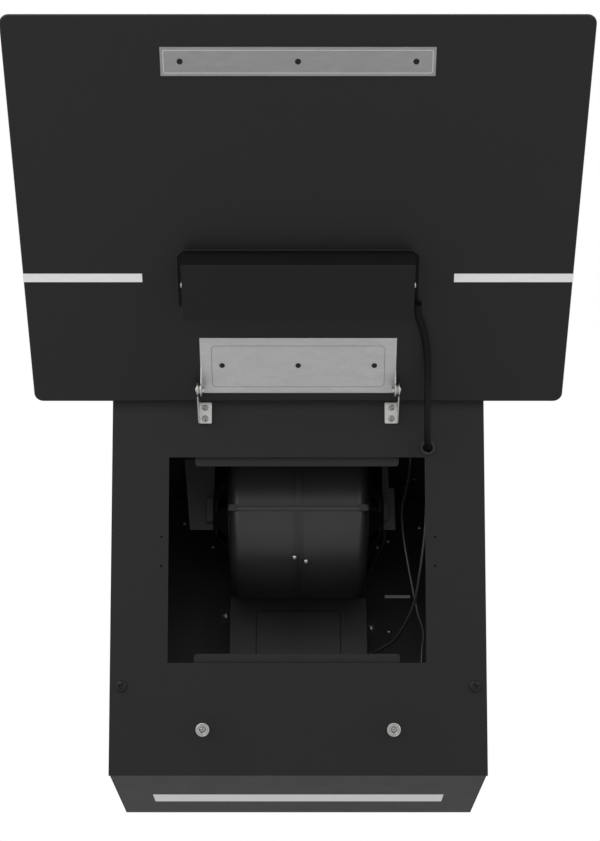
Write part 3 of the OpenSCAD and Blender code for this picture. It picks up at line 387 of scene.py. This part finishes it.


# %% [markdown]
# ### Black powder-coated steel
# The casing is sheet steel under a matt black polyester powder, baked on. It has a fine orange-peel skin, about a
# hundredth of a millimetre deep, and no gloss of its own. Real peel is half a millimetre wide, too fine to show
# from two metres, so it is drawn wider here. The inside faces and the power box take paler copies of the powder:
# painted light, which lightens the shade inside the casing. The control box's base takes a darker copy, painted
# shade, and rounded edges take a pale copy, a painted highlight.

# %% Black finishes
casing_black = finish("powder_coated_steel", "#151515", "#191919", 40, 0.55, specular=0.3, peel=0.03, peel_size=1.6,
                      dust="#3a3a3a")
# Painted light: a paler copy of the powder for faces inside the casing, lightening their shade.
painted_light_inner_black = finish("powder_coated_steel_painted_light_in_casing", "#232323", "#2a2a2a", 30, 0.5, specular=0.35, peel=0.03,
                      peel_size=1.6)
rail_black = finish("powder_coated_steel_rail", "#191919", "#1e1e1e", 30, 0.5, specular=0.3, peel=0.03,
                    peel_size=1.6)
# Painted light: a paler copy of the powder for the power box and its cover, deep in the casing's shade.
painted_light_power_black = finish("powder_coated_steel_painted_light_for_power_box", "#2d2d2d", "#383838", 30, 0.5, specular=0.4, peel=0.03,
                     peel_size=1.6)
box_black = finish("powder_coated_steel_box", "#131313", "#171717", 35, 0.5, specular=0.24, peel=0.03,
                   peel_size=1.6)
# Painted shade: a darker copy of the powder for the control box's base, whose ledge lies in shade.
painted_shade_box_base = finish("powder_coated_steel_painted_shade_for_box_base", "#0b0b0b", "#0f0f0f", 35, 0.55, specular=0.15, peel=0.03,
                    peel_size=1.6)
# Painted highlight: a pale copy of the powder for rounded edges, for the line of light along them.
painted_highlight_black = finish("powder_coated_steel_painted_edge_highlight", "#303030", "#424242", 3, 0.45, specular=0.4, peel=0.02,
                    peel_size=1)
screw_black = finish("black_oxide_steel", "#0c0c0c", "#121212", 4, 0.4, specular=0.3, peel=0.01, peel_size=1)
print("black finishes:", casing_black.name, painted_light_inner_black.name, rail_black.name, box_black.name)

# %% [markdown]
# ### Printed glass
# The glass is 4 mm tempered float glass. Its back is printed with black ceramic enamel, which fires to a very even
# satin. Its front is polished glass with the print showing through, so it is black and mirror-smooth. The ground
# edge scatters light and looks grey.

# %% Glass finishes
enamel_print = finish("ceramic_enamel_print", "#1a1a1a", "#1c1c1c", 60, 0.45, specular=0.3, peel=0.004, peel_size=3)
glass_front = finish("float_glass_over_print", "#060606", "#070707", 200, 0.06, specular=0.5, coat=0.5)
ground_edge = finish("ground_glass_edge", "#101111", "#181a19", 6, 0.5, specular=0.35, peel=0.01, peel_size=0.6)

# %% [markdown]
# ### Bare and plated steel
# The hinge plate and the catch plate are galvanised sheet: a dull grey with faint rolling marks along the sheet and
# zinc crystals a few millimetres wide. The catch plate's copy is darker: a tone of its own, and also painted shade
# for its dimmer reflection. The pressed lines take a darker copy on the hinge plate, painted shade, and a paler one
# on the catch plate, a painted highlight. The hinge arms, screws and posts are zinc plated, which is brighter.

# %% Metal finishes
galvanised = finish("galvanised_steel", "#c6c6c6", "#d4d4d4", 3, 0.5, metallic=1.0, peel=0.006, peel_size=1.2,
                    streak=(0.35, 1, 1), flecks=0.04)
# The catch plate's darker copy: a tone of its own, and painted shade for its dimmer reflection.
galvanised_dark_tone_and_shade = finish("galvanised_steel_dark_tone_and_painted_shade", "#9c9c9c", "#aaaaaa", 3, 0.55, metallic=1.0, peel=0.006,
                         peel_size=1.2, streak=(0.35, 1, 1), flecks=0.04)
# Painted highlight: a paler copy of the sheet for the catch plate's pressed line.
painted_highlight_zinc = finish("galvanised_steel_painted_highlight", "#c8c8c8", "#dadada", 2, 0.4, metallic=1.0, peel=0.004, peel_size=1)
# Painted shade: a darker copy of the sheet for the hinge plate's pressed line.
shaded_zinc = finish("galvanised_steel_painted_line_shade", "#9a9a9a", "#a8a8a8", 2, 0.6, metallic=1.0, peel=0.004,
                     peel_size=1)
screw_steel = finish("zinc_plated_screw", "#8c8c8a", "#a2a2a0", 2, 0.26, metallic=1.0, peel=0.008, peel_size=0.8)
zinc_plate = finish("zinc_plated_steel", "#c8c8c6", "#d6d6d4", 2.5, 0.32, metallic=1.0, peel=0.008, peel_size=0.8)
hanger_zinc = finish("galvanised_steel_inside", "#626262", "#6e6e6e", 8, 0.6, metallic=0.4, specular=0.3,
                     peel=0.01, peel_size=1.2, flecks=0.06)
motor_steel = finish("galvanised_motor_can", "#8a8a88", "#989896", 5, 0.4, metallic=1.0, peel=0.006, peel_size=1.5)
nickel = finish("nickel_plated_magnet", "#b4b4b2", "#c4c4c2", 2, 0.3, metallic=1.0, peel=0.004, peel_size=0.7)
aluminium = finish("mill_finish_aluminium", "#b4b4b4", "#c2c2c2", 4, 0.35, metallic=1.0, peel=0.004, peel_size=1,
                   streak=(0.1, 1, 1))
stripe_film = finish("brushed_aluminium_trim", "#ececec", "#f4f4f4", 2, 0.4, metallic=0.0, specular=0.5,
                     peel=0.003, peel_size=0.8, streak=(0.1, 1, 1))

# %% [markdown]
# ### Plastics, rubber and cable
# The blower's housing is injection-moulded polypropylene, spark-eroded to a fine satin. Clips and collar are nylon
# and ABS. The grommet is soft EPDM rubber, and the cables are PVC. The strip in the cable slot is pale foam.

# %% Plastic finishes
scroll_plastic = finish("moulded_polypropylene", "#272727", "#2e2e2e", 50, 0.4, specular=0.5, peel=0.01,
                        peel_size=1.2)
# Painted highlight: a paler copy of the plastic for the housing's rounded lips and ribs.
scroll_painted_highlight = finish("moulded_polypropylene_painted_highlight", "#3c3c3c", "#484848", 6, 0.35, specular=0.5, peel=0.01,
                     peel_size=1)
clip_plastic = finish("moulded_nylon", "#1a1a1a", "#222222", 12, 0.45, specular=0.4, peel=0.01, peel_size=1)
wheel_plastic = finish("glass_filled_nylon", "#2c2f31", "#34373a", 9, 0.55, specular=0.35, peel=0.02, peel_size=1)
collar_plastic = finish("moulded_abs", "#1c1c1c", "#222222", 25, 0.42, specular=0.4, peel=0.02, peel_size=1.4)
pale_plastic = finish("moulded_polycarbonate", "#cfcdc4", "#dad8d0", 15, 0.45, specular=0.4, peel=0.01, peel_size=1)
foam = finish("closed_cell_foam", "#dcdcda", "#ececea", 1.5, 0.8, specular=0.2, peel=0.15, peel_size=0.9)
lens_acrylic = finish("frosted_acrylic", "#e2e2e1", "#e8e8e7", 40, 0.5, specular=0.4, peel=0.01, peel_size=1)
board_green = finish("solder_masked_board", "#1f5a2c", "#2b6d38", 5, 0.35, specular=0.5, peel=0.02, peel_size=2)
rubber = finish("epdm_rubber", "#262626", "#2e2e2e", 6, 0.6, specular=0.4, peel=0.02, peel_size=0.8)
boot_rubber = finish("tpe_boot", "#0c0c0c", "#121212", 8, 0.6, specular=0.15, peel=0.02, peel_size=0.8)
cable_pvc = finish("pvc_cable_jacket", "#080808", "#0c0c0c", 10, 0.5, specular=0.15, peel=0.01, peel_size=1.5)
lead_pvc = finish("pvc_lead_jacket", "#343434", "#444444", 8, 0.3, specular=0.5, peel=0.01, peel_size=1.5)
cable.data.materials.append(cable_pvc)

# %% [markdown]
# ## Glass panel
# The panel is a rounded rectangle whose edge is ground to a half circle, a pencil edge. The loft runs from the
# front face over the half circle to the back face, so the edge catches light in one smooth band.

# %% Loft the glass panel
glass_low, glass_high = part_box("glass_panel")
glass_w = (glass_high.x - glass_low.x) / MM
glass_lift = 9
glass_l = hinge_up + glass_past - glass_lift
glass_corner = 10
glass_middle = (0, glass_l / 2 - glass_past)
edge_steps = 10
glass_loops = []
for step in range(edge_steps + 1):
    angle = -pi / 2 + pi * step / edge_steps
    inset = glass_t / 2 * (1 - cos(angle))
    glass_loops.append(rounded_loop(glass_w - 2 * inset, glass_l - 2 * inset, glass_corner - inset,
                                    glass_back - glass_t / 2 + glass_t / 2 * sin(angle), 12, glass_middle))
panel_shape = loft(glass_loops)
for side in panel_shape.faces:
    if len(side.verts) > 4:
        side.material_index = 1 if side.calc_center_median().z < glass_back - glass_t / 2 else 0
    else:
        side.material_index = 2
glass_panel = piece("glass_front_panel", panel_shape, [enamel_print, glass_front, ground_edge], "glass_panel",
                    matrix=glass_plane)
print("glass in millimetres:", round(glass_w), round(glass_l))

# %% [markdown]
# ## Pressed plates
# The two galvanised plates on the glass are stamped with a shallow line that runs round inside the border and keeps
# the sheet flat. Their outlines, holes and folded ears come from the CAD nodes, with their edges eased, and the
# line is cut into the face. Its faces are painted darker on the hinge plate, painted shade, and paler on the catch
# plate, a painted highlight.

# %% Press the catch plate and the hinge plate
plate_t = 1.5
hinge_plate_w = 220
hinge_plate_h = 70
plate_y0 = -10


def pressed_line(width, height, corner, middle, shade, wide, deep=0.3):
    """A cutter for a pressed line: a frame with round corners, its sides sloping inwards.

    The faces that it cuts take the plate's second finish, shade: painted shade on the hinge plate and a painted
    highlight on the catch plate.
    """
    face = glass_back + plate_t
    loops = [rounded_loop(width + 2 * grow, height + 2 * grow, corner + grow, face + z, 6, middle)
             for grow, z in ((wide * 0.3, -deep), (wide, deep), (-wide, deep), (-wide * 0.3, -deep))]
    shape = loft(loops, ring=True)
    for side in shape.faces:
        side.material_index = 1
    return piece("line", shape, [shade, shade], matrix=glass_plane)


catch_up, catch_lift = 54.4, 2.2
catch_middle = (0, hinge_up - catch_up - catch_lift)
catch_plate = eased("catch_plate", 0.3, [galvanised_dark_tone_and_shade, painted_highlight_zinc],
                    cutters=[pressed_line(273.6, 23.6, 2, catch_middle, painted_highlight_zinc, wide=0.7)])
hinge_plate = eased("hinge_plate", 0.35, [galvanised, shaded_zinc],
                    cutters=[pressed_line(hinge_plate_w - 26, hinge_plate_h - 18, 5,
                                          (0, plate_y0 + hinge_plate_h / 2 - 1), shaded_zinc, wide=0.6)])
print("plates:", catch_plate.name, hinge_plate.name)

# %% [markdown]
# ## Sheet-metal casing
# The casing's panels, rails and boxes are folded sheet. Their CAD shapes are right as they are, and real folds
# and cut edges are slightly round, so each one is copied with its edges eased. The panels that close the casing
# take a paler copy of the finish on their inner faces: painted light, which lightens the shade inside. The front
# panel's rounded edges take a pale finish: a painted highlight.

# %% Ease the casing's edges
def inside_faces(panel, inwards):
    """Gives the paler inside finish, painted light, to the faces that look into the casing."""
    for side in panel.data.polygons:
        if side.normal.dot(Vector(inwards)) > 0.9:
            side.material_index = 1


for node, inwards in (("side_panel_left", (1, 0, 0)), ("side_panel_right", (-1, 0, 0)), ("back_plate", (0, -1, 0)),
                      ("top_plate", (0, 0, -1))):
    inside_faces(eased(node, 0.3, [casing_black, painted_light_inner_black]), inwards)

# The front panel's rounded edges take the painted highlight.
eased("front_panel", 0.45, [casing_black, painted_highlight_black], edge_finish=1)

for node, width, finish_name in (
        ("lower_panel", 0.35, casing_black),
        ("filter_rail_top", 0.3, rail_black), ("filter_rail_low", 0.3, rail_black),
        ("power_box", 0.3, painted_light_power_black),
        ("hinge_arm_left", 0.4, zinc_plate), ("hinge_arm_right", 0.4, zinc_plate),
        ("hanger_left", 0.3, hanger_zinc), ("hanger_right", 0.3, hanger_zinc), ("slot_strip", 0.1, foam),
        ("lamp_lens", 0.3, lens_acrylic), ("lamp_channel", 0.2, aluminium), ("lamp_driver", 0.8, pale_plastic),
        ("scroll_clips", 0.2, clip_plastic), ("inlet_guard_left", 0.5, clip_plastic),
        ("inlet_guard_right", 0.5, clip_plastic), ("duct_collar", 0.4, collar_plastic),
        ("flap_front", 0.3, collar_plastic), ("flap_rear", 0.3, collar_plastic),
        ("mains_gland", 0.4, clip_plastic), ("motor_capacitor", 0.8, pale_plastic),
        ("fan_motor", 2.0, motor_steel), ("catch_posts", 0.3, zinc_plate), ("hinge_bolts", 0.4, zinc_plate),
        ("hinge_nuts", 0.3, zinc_plate), ("hinge_washers", 0.2, pale_plastic), ("lead_saddle", 0.4, clip_plastic)):
    eased(node, width, [finish_name])

# %% [markdown]
# ### Control box
# The cover is folded from sheet, so its long edges are rounder than a cut edge. They take a paler finish, a painted
# highlight for the line of light that they catch. The base under it is darker: painted shade.

# %% Fold the control box
# The cover's rounded edges take the painted highlight.
eased("control_cover", 0.8, [box_black, painted_highlight_black], steps=3, edge_finish=1)
# The base is painted darker, painted shade, and its edges take the painted highlight.
eased("control_base", 0.3, [painted_shade_box_base, painted_highlight_black], edge_finish=1)

# %% [markdown]
# ### Power box cover
# The cover has a square pressed field. The press leaves a slope two millimetres wide round it.

# %% Press the power box's cover
cover_y = -45.2
emboss_middle = (0, 191)
emboss_w = 108
cover_middle = (0, 176)
cover_w, cover_h = 173, 172
cover_shape = loft([
    rounded_loop(cover_w, cover_h, 0.6, 0, 8, cover_middle),
    rounded_loop(cover_w, cover_h, 0.6, 0.7, 8, cover_middle),
    rounded_loop(cover_w - 0.6, cover_h - 0.6, 0.6, 1, 8, cover_middle),
    rounded_loop(emboss_w, emboss_w, 7, 1, 8, emboss_middle),
    rounded_loop(emboss_w - 1.2, emboss_w - 1.2, 6.6, 1.15, 8, emboss_middle),
    rounded_loop(emboss_w - 2.8, emboss_w - 2.8, 6, 1.65, 8, emboss_middle),
    rounded_loop(emboss_w - 4.4, emboss_w - 4.4, 5.4, 1.8, 8, emboss_middle)])
# The pressed cover takes the paler powder: painted light.
piece("pressed_power_cover", cover_shape, [painted_light_power_black], "power_cover",
      matrix=plane((0, (cover_y + 1) * MM, 0), 90))

# %% [markdown]
# ## Blower housing
# The two moulded halves are thin shells with lips and ribs. Their CAD shapes are copied with eased edges, which take
# a paler finish: a painted highlight along the lips and ribs.

# %% Ease the blower housing
for node in ("scroll_upper", "scroll_lower"):
    eased(node, 0.5, [scroll_plastic, scroll_painted_highlight], edge_finish=1)

# %% [markdown]
# ## What repeats
# Screws, rivets and fan blades repeat, so one Geometry Nodes tree puts copies of a shape on points. Each
# point carries the turn of its copy. A small extra spin, fixed by a seed, keeps the cross recesses from lining up.

# %% Geometry Nodes for repeated shapes
def repeating_tree():
    """Copies of a shape on points, as one real mesh with one finish."""
    tree = bpy.data.node_groups.new("shape_on_points", "GeometryNodeTree")
    tree.is_modifier = True
    for label, kind in (("Points", "Geometry"), ("Shape", "Object"), ("Size", "Float"), ("Spin", "Float"),
                        ("Seed", "Int"), ("Finish", "Material")):
        tree.interface.new_socket(label, in_out="INPUT", socket_type="NodeSocket" + kind)
    tree.interface.new_socket("Result", in_out="OUTPUT", socket_type="NodeSocketGeometry")
    given = add(tree, "NodeGroupInput").outputs
    shape = add(tree, "GeometryNodeObjectInfo", Object=given["Shape"])
    turn = add(tree, "GeometryNodeInputNamedAttribute", {"data_type": "FLOAT_VECTOR"}, Name="turn")
    spin = add(tree, "FunctionNodeRandomValue", _2=0.0, _3=given["Spin"], _8=given["Seed"])
    own_spin = add(tree, "FunctionNodeEulerToRotation",
                   _0=add(tree, "ShaderNodeCombineXYZ", Z=spin.outputs[1]).outputs[0])
    turned = add(tree, "FunctionNodeRotateRotation", {"rotation_space": "LOCAL"},
                 _0=add(tree, "FunctionNodeEulerToRotation", _0=turn.outputs[0]).outputs[0], _1=own_spin.outputs[0])
    copies = add(tree, "GeometryNodeInstanceOnPoints", Points=given["Points"], Instance=shape.outputs["Geometry"],
                 Rotation=turned.outputs[0], Scale=given["Size"])
    real = add(tree, "GeometryNodeRealizeInstances", Geometry=copies.outputs[0])
    dressed = add(tree, "GeometryNodeSetMaterial", Geometry=real.outputs[0], Material=given["Finish"])
    add(tree, "NodeGroupOutput", Result=dressed.outputs[0])
    return tree


shape_on_points = repeating_tree()


def repeated(name, shape, places, finish_name, node=None, body=None, spin=0.0, seed=1):
    """A piece made of copies of a shape, at places given as (position in metres, turn)."""
    mesh = bpy.data.meshes.new(name)
    mesh.from_pydata([place for place, turn in places], [], [])
    turns = mesh.attributes.new("turn", "FLOAT_VECTOR", "POINT")
    turns.data.foreach_set("vector", [angle for place, turn in places for angle in turn])
    made = bpy.data.objects.new(name, mesh)
    scene.collection.objects.link(made)
    copier = made.modifiers.new("copies", "NODES")
    copier.node_group = shape_on_points
    values = {"Shape": shape, "Size": MM, "Spin": spin, "Seed": seed, "Finish": finish_name}
    for item in shape_on_points.interface.items_tree:
        if item.in_out == "INPUT" and item.name in values:
            copier[item.identifier] = values[item.name]
    applied(made)
    bpy.data.objects.remove(shape)
    if node:
        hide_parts(node)
    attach(made, body or body_by_node[node])
    return made


def box_shape(size, middle):
    """A plain block, used as a cutter."""
    shape = bmesh.new()
    bmesh.ops.create_cube(shape, size=1, matrix=Matrix.Translation(middle) @ Matrix.Diagonal((*size, 1)))
    return shape


def cross_screw(head_r, head_h, shank_r, shank_l):
    """A pan-head screw with a cross recess, in millimetres, its head's underside at z = 0."""
    dome = [(head_r * cos(a), head_h * (0.45 + 0.55 * sin(a))) for a in (0, 0.35, 0.7, 1.05, 1.3)]
    profile = [(0, -shank_l), (shank_r, -shank_l), (shank_r, 0), (head_r, 0)] + dome + [(0, head_h)]
    arms = [piece("arm", box_shape(size, (0, 0, head_h)), [])
            for size in ((head_r * 1.15, head_r * 0.3, head_h * 1.3), (head_r * 0.3, head_r * 1.15, head_h * 1.3))]
    return piece("screw_shape", lathe(profile, 32), [], cutters=arms)


def on_plane(matrix, spots):
    """Places on a working plane, turned to its outward direction."""
    turn = matrix.to_3x3().normalized().to_euler()
    return [(matrix @ Vector(spot), turn) for spot in spots]


# %% [markdown]
# ### Screws and rivets
# Every screw has a cross recess. The casing's two black screws have an oxide finish, and the others are zinc
# plated. A few small rivets hold the back plate and the top plate.

# %% Place the screws and rivets
arm_x = hinge_plate_w / 2 + 2.5
foot_w, foot_below_hinge, foot_screw_gap = 15, 23, 13
foot_x = arm_x - foot_w / 2 + plate_t
foot_up = hinge_up - foot_below_hinge
repeated("arm_screws_cross", cross_screw(3.8, 2, 2, 7.2),
         on_plane(face_plane, [(side * foot_x, foot_up + up * foot_screw_gap, 2)
                               for side in (-1, 1) for up in (-0.5, 0.5)]),
         screw_steel, "arm_screws", spin=2.0, seed=3)
repeated("panel_screws_cross", cross_screw(6.5, 3, 2, 7.2),
         on_plane(face_plane, [(side * 199.5, 98.5, 0) for side in (-1, 1)]), screw_black, "panel_screws",
         spin=2.0, seed=5)
catch_x, post_h, magnet_h = 105, 36.2, 8
repeated("catch_screws_cross", cross_screw(3.2, 2, 2, 5.6),
         on_plane(face_plane, [(side * catch_x, catch_up, post_h + magnet_h - 2.4) for side in (-1, 1)]),
         screw_steel, "catch_screws", spin=2.0, seed=7)
side_screws = []
for side in (-1, 1):
    side_turn = (glass_plane.to_3x3().normalized() @ Matrix.Rotation(side * pi / 2, 3, "Y")).to_euler()
    side_screws.append((glass_plane @ Vector((side * 125, 131.5, 3.5)), side_turn))
repeated("control_screws_cross", cross_screw(3.6, 3, 1.5, 5), side_screws, zinc_plate, "control_screws", spin=2.0,
         seed=9)
repeated("power_screws_cross", cross_screw(4.2, 2.6, 2, 1),
         on_plane(back_plane, [(-94, 252.5, 1), (94, 236.5, 1)]), zinc_plate, "power_screws", spin=2.0, seed=11)
fan_axis = Vector(joints["fan_spin"]["pos_m"])
boss_out = 104.4
boss_screws = []
for x, down in ((-4.5, 50.5), (9, 53.5)):
    out = Vector((0, -cos(radians(down)), -sin(radians(down))))
    boss_turn = out.to_track_quat("Z", "Y").to_euler()
    boss_screws.append((fan_axis + Vector((x * MM, 0, 0)) + out * boss_out * MM, boss_turn))
repeated("scroll_screws_cross", cross_screw(2.6, 2, 1.2, 3.5), boss_screws, zinc_plate, "scroll_screws", spin=2.0,
         seed=13)

rivet_shape = piece("rivet_shape", lathe([(0, 0), (2.3, 0), (2.2, 0.5), (1.7, 0.9), (0.9, 1.1), (0, 1.15)], 24), [])
rivet_spots = [(-151.6, 381.7), (-113, 348.8), (160.8, 375.7), (104.1, 348), (118.6, 355.8), (117, 231.5)]
top_turn = (pi, 0, 0)
repeated("plate_rivets", rivet_shape,
         on_plane(back_plane, [(x, z, 0) for x, z in rivet_spots])
         + [(Vector((x, y, casing_height - sheet)) * MM, top_turn) for x, y in ((-151.6, -71.6), (150.3, -73.9))],
         zinc_plate, body="casing")

# %% [markdown]
# ### Magnetic catches
# Each catch is a steel pot with a ring magnet inside it. From the front it shows the pot's rim, a groove, the
# magnet's face and the screw in the middle.

# %% Turn the catches
magnet_shape = piece("magnet_shape", lathe([
    (2.1, 0), (7.2, 0), (7.5, 0.3), (7.5, 7.3), (7.3, 7.8), (6.9, 8), (6.5, 8), (6.25, 7.8), (6.2, 6), (5.3, 6),
    (5.25, 7.6), (5, 7.85), (4.1, 7.85), (3.75, 7.6), (3.3, 7), (3.3, 5.65), (2.1, 5.65)]), [])
repeated("pot_magnets", magnet_shape, on_plane(face_plane, [(side * catch_x, catch_up, post_h) for side in (-1, 1)]),
         nickel, "catch_magnets")

# %% [markdown]
# ### Fan wheel
# The wheel is moulded in one: a middle disc with a hub, an end ring on each side and curved blades between them. It
# turns with its shaft about the motor's axis.

# %% Make the wheel
wheel_r, wheel_l, wheel_in = 68, 132, 55
wheel_turn = Matrix.Translation(fan_axis) @ Matrix.Rotation(pi / 2, 4, "Y") @ Matrix.Scale(MM, 4)
for name, profile in (
        ("wheel_disc", [(4.05, -9), (11.6, -9), (12, -8.6), (12, -1.6), (12.6, -1), (67.6, -1), (68, -0.6),
                        (68, 0.6), (67.6, 1), (12.6, 1), (12, 1.6), (12, 8.6), (11.6, 9), (4.05, 9)]),
        ("wheel_ring_left", [(r, z - wheel_l / 2) for r, z in ((55, 0.5), (55.5, 0), (67.5, 0), (68, 0.5), (68, 3),
                                                              (55, 3))]),
        ("wheel_ring_right", [(r, wheel_l / 2 - z) for r, z in ((55, 0.5), (55.5, 0), (67.5, 0), (68, 0.5), (68, 3),
                                                               (55, 3))])):
    piece(name, lathe(profile, 96), [wheel_plastic], "fan_wheel", matrix=wheel_turn)
blade_steps = 6
blade_outline = []
for rise, order in ((0.4, range(blade_steps + 1)), (-0.4, range(blade_steps, -1, -1))):
    for step in order:
        t = step / blade_steps
        blade_outline.append((3.2 - 7 * t + 5 * t * (1 - t) + rise, wheel_in + 0.4 + 12.2 * t))
blade = loft([[Vector((x, y, z)) for y, z in blade_outline] for x in (-wheel_l / 2 + 2, wheel_l / 2 - 2)])
blade_count = 36
repeated("wheel_blades", piece("blade_shape", blade, []),
         [(fan_axis, (2 * pi * i / blade_count, 0, 0)) for i in range(blade_count)], wheel_plastic, "fan_wheel")

# %% [markdown]
# ## Cable boot, grommet and leads
# The boot is a rubber sleeve that narrows in ribs from the box to the cable. The grommet is a rubber ring with
# rounded lips on both sides of the panel. The thin leads inside the casing follow the CAD's routes.

# %% Mould the rubber parts and sweep the leads
boot_l = 10
boot_loops = []
for along, grow in ((0, 0.2), (0.5, 0.5), (1.6, 0.5), (1.9, 0), (2.8, 0), (3.1, 0.55), (4.4, 0.55), (4.7, 0),
                    (5.6, 0), (5.9, 0.5), (7.2, 0.5), (7.5, 0), (8, 0.3), (9.7, 0.3), (10, 0)):
    wide = 8.9 + 1.2 * along / boot_l + grow
    boot_loops.append(rounded_loop(wide, min(wide, 9.4), min(wide, 9.4) / 2 - 0.2 - 1.2 * along / boot_l, along, 8))
boot_place = glass_plane @ Matrix.Translation((130.4, 94.5, -5.75)) @ Matrix.Rotation(-pi / 2, 4, "X")
piece("cable_boot_ribbed", loft(boot_loops), [boot_rubber], "cable_boot", matrix=boot_place)

grommet_x, grommet_below_hinge = 148, 62.6
grommet_place = face_plane @ Matrix.Translation((grommet_x, hinge_up - grommet_below_hinge, 0))
piece("cable_grommet_ring", lathe([
    (5.2, -2.6), (5.6, -3.1), (8, -3.2), (8.5, -2.8), (8.5, -1.5), (8.2, -1.2), (6.5, -1.2), (6.5, 0), (8.2, 0),
    (8.5, 0.4), (8.5, 1.3), (8.2, 1.8), (7.6, 2), (6.4, 2), (5.7, 1.8), (5.2, 1.2)]), [rubber], "cable_grommet",
      matrix=grommet_place)

for node, radius, route in (
        ("panel_lead", 1.8, (
            (148, -315, 347.5), (148, -307, 349.5), (148, -300, 344.5), (148.5, -293, 328), (148, -282, 303),
            (147, -267, 276), (145, -250, 254), (141, -220, 226), (137, -190, 206), (128, -150, 192),
            (117, -110, 185), (104, -75, 186), (93, -45, 189), (80, -31, 190))),
        ("lamp_lead", 1.5, (
            (145, -313, 351), (144, -302, 360), (143, -283, 379), (141, -255, 396), (140, -222, 405),
            (140, -195, 406), (139, -174, 400), (137, -165, 380), (132, -164, 356), (127, -165, 333),
            (128, -163, 300), (132, -160, 269), (138, -153, 235), (144, -146, 205), (150, -140, 185),
            (148, -130, 160), (146, -128, 120), (146, -130, 80), (146, -132, 50), (146, -132, 26))),
        ("motor_lead", 1.5, (
            (106.1, -127, 328), (107.5, -118, 325), (108, -104, 319), (104, -88, 312), (98, -74, 304),
            (92, -61, 293), (86.5, -47, 282), (80, -35, 273), (76.5, -29, 267), (76, -28, 262), (76, -28, 252)))):
    lead_path = [point * MM for point in on_route([Vector(point) for point in route], 6)]
    piece(node + "_smooth", tube(lead_path, radius * MM, 12), [lead_pvc], node)

# %% [markdown]
# ## What stays as it is
# Circuit boards, rods, the shaft and the two film stripes keep their CAD shapes and take a finish each.

# %% Finish the CAD pieces that stay
for node, finish_name in (
        ("lamp_board", board_green), ("power_board", board_green), ("control_board", board_green),
        ("fan_shaft", zinc_plate), ("flap_rods", zinc_plate), ("glass_stripes", stripe_film)):
    node_mesh = frame["nodes"][node].data
    node_mesh.materials.clear()
    node_mesh.materials.append(finish_name)

# %% [markdown]
# ## Floor, background and light
# The hood hangs over a pale worktop. Soft light from all round comes from the world, which is white to the camera
# and to reflections and a little dimmer as a lamp. Two large soft lamps model the shapes, and two tall strips in
# front, one on each side, draw a line of light down the rounded rims of the blower. They end above the floor, so
# they leave no bright patch on it.

# %% Stage and light
def lamp(name, place, aim, size, power, height=None):
    """A soft lamp that looks at a point: a disc, or a strip where it has a height."""
    data = bpy.data.lights.new(name, "AREA")
    data.shape = "RECTANGLE" if height else "ELLIPSE"
    data.size = size
    data.size_y = height or size
    data.energy = power
    made = bpy.data.objects.new(name, data)
    made.location = place
    made.rotation_euler = (Vector(aim) - Vector(place)).to_track_quat("-Z", "Y").to_euler()
    made.visible_camera = False
    scene.collection.objects.link(made)
    return made


centre = (cad_low + cad_high) / 2
lamp("key_lamp", (-1.4, -2.4, 1.6), centre, 1.8, 18)
lamp("left_strip_lamp", (-1.5, -1.9, 0.3), centre, 0.3, 6, 1.6)
lamp("right_strip_lamp", (1.5, -1.9, 0.3), centre, 0.3, 6, 1.6)
lamp("top_lamp", (0, -0.2, 2.6), centre, 2.0, 25)

floor_drop = 0.65
floor_shape = bmesh.new()
bmesh.ops.create_grid(floor_shape, x_segments=1, y_segments=1, size=6)
floor = piece("floor", floor_shape, [finish("pale_floor", "#dcdcdc", "#e0e0e0", 300, 0.6)],
              matrix=Matrix.Translation((0, 0, -floor_drop)))

world = bpy.data.worlds.new("studio")
world.use_nodes = True
world.node_tree.nodes.clear()
rays = add(world.node_tree, "ShaderNodeLightPath")
seen = add(world.node_tree, "ShaderNodeMath", {"operation": "MAXIMUM"}, _0=rays.outputs["Is Camera Ray"],
           _1=rays.outputs["Is Glossy Ray"])
seen = add(world.node_tree, "ShaderNodeMath", {"operation": "MAXIMUM"}, _0=seen.outputs[0],
           _1=rays.outputs["Is Transmission Ray"])
ambient = 0.56
level = add(world.node_tree, "ShaderNodeMapRange", Value=seen.outputs[0], To_Min=ambient, To_Max=1.0)
sky = add(world.node_tree, "ShaderNodeBackground", Color=(1, 1, 1, 1), Strength=level.outputs[0])
world_out = add(world.node_tree, "ShaderNodeOutputWorld")
world.node_tree.links.new(sky.outputs[0], world_out.inputs["Surface"])
scene.world = world
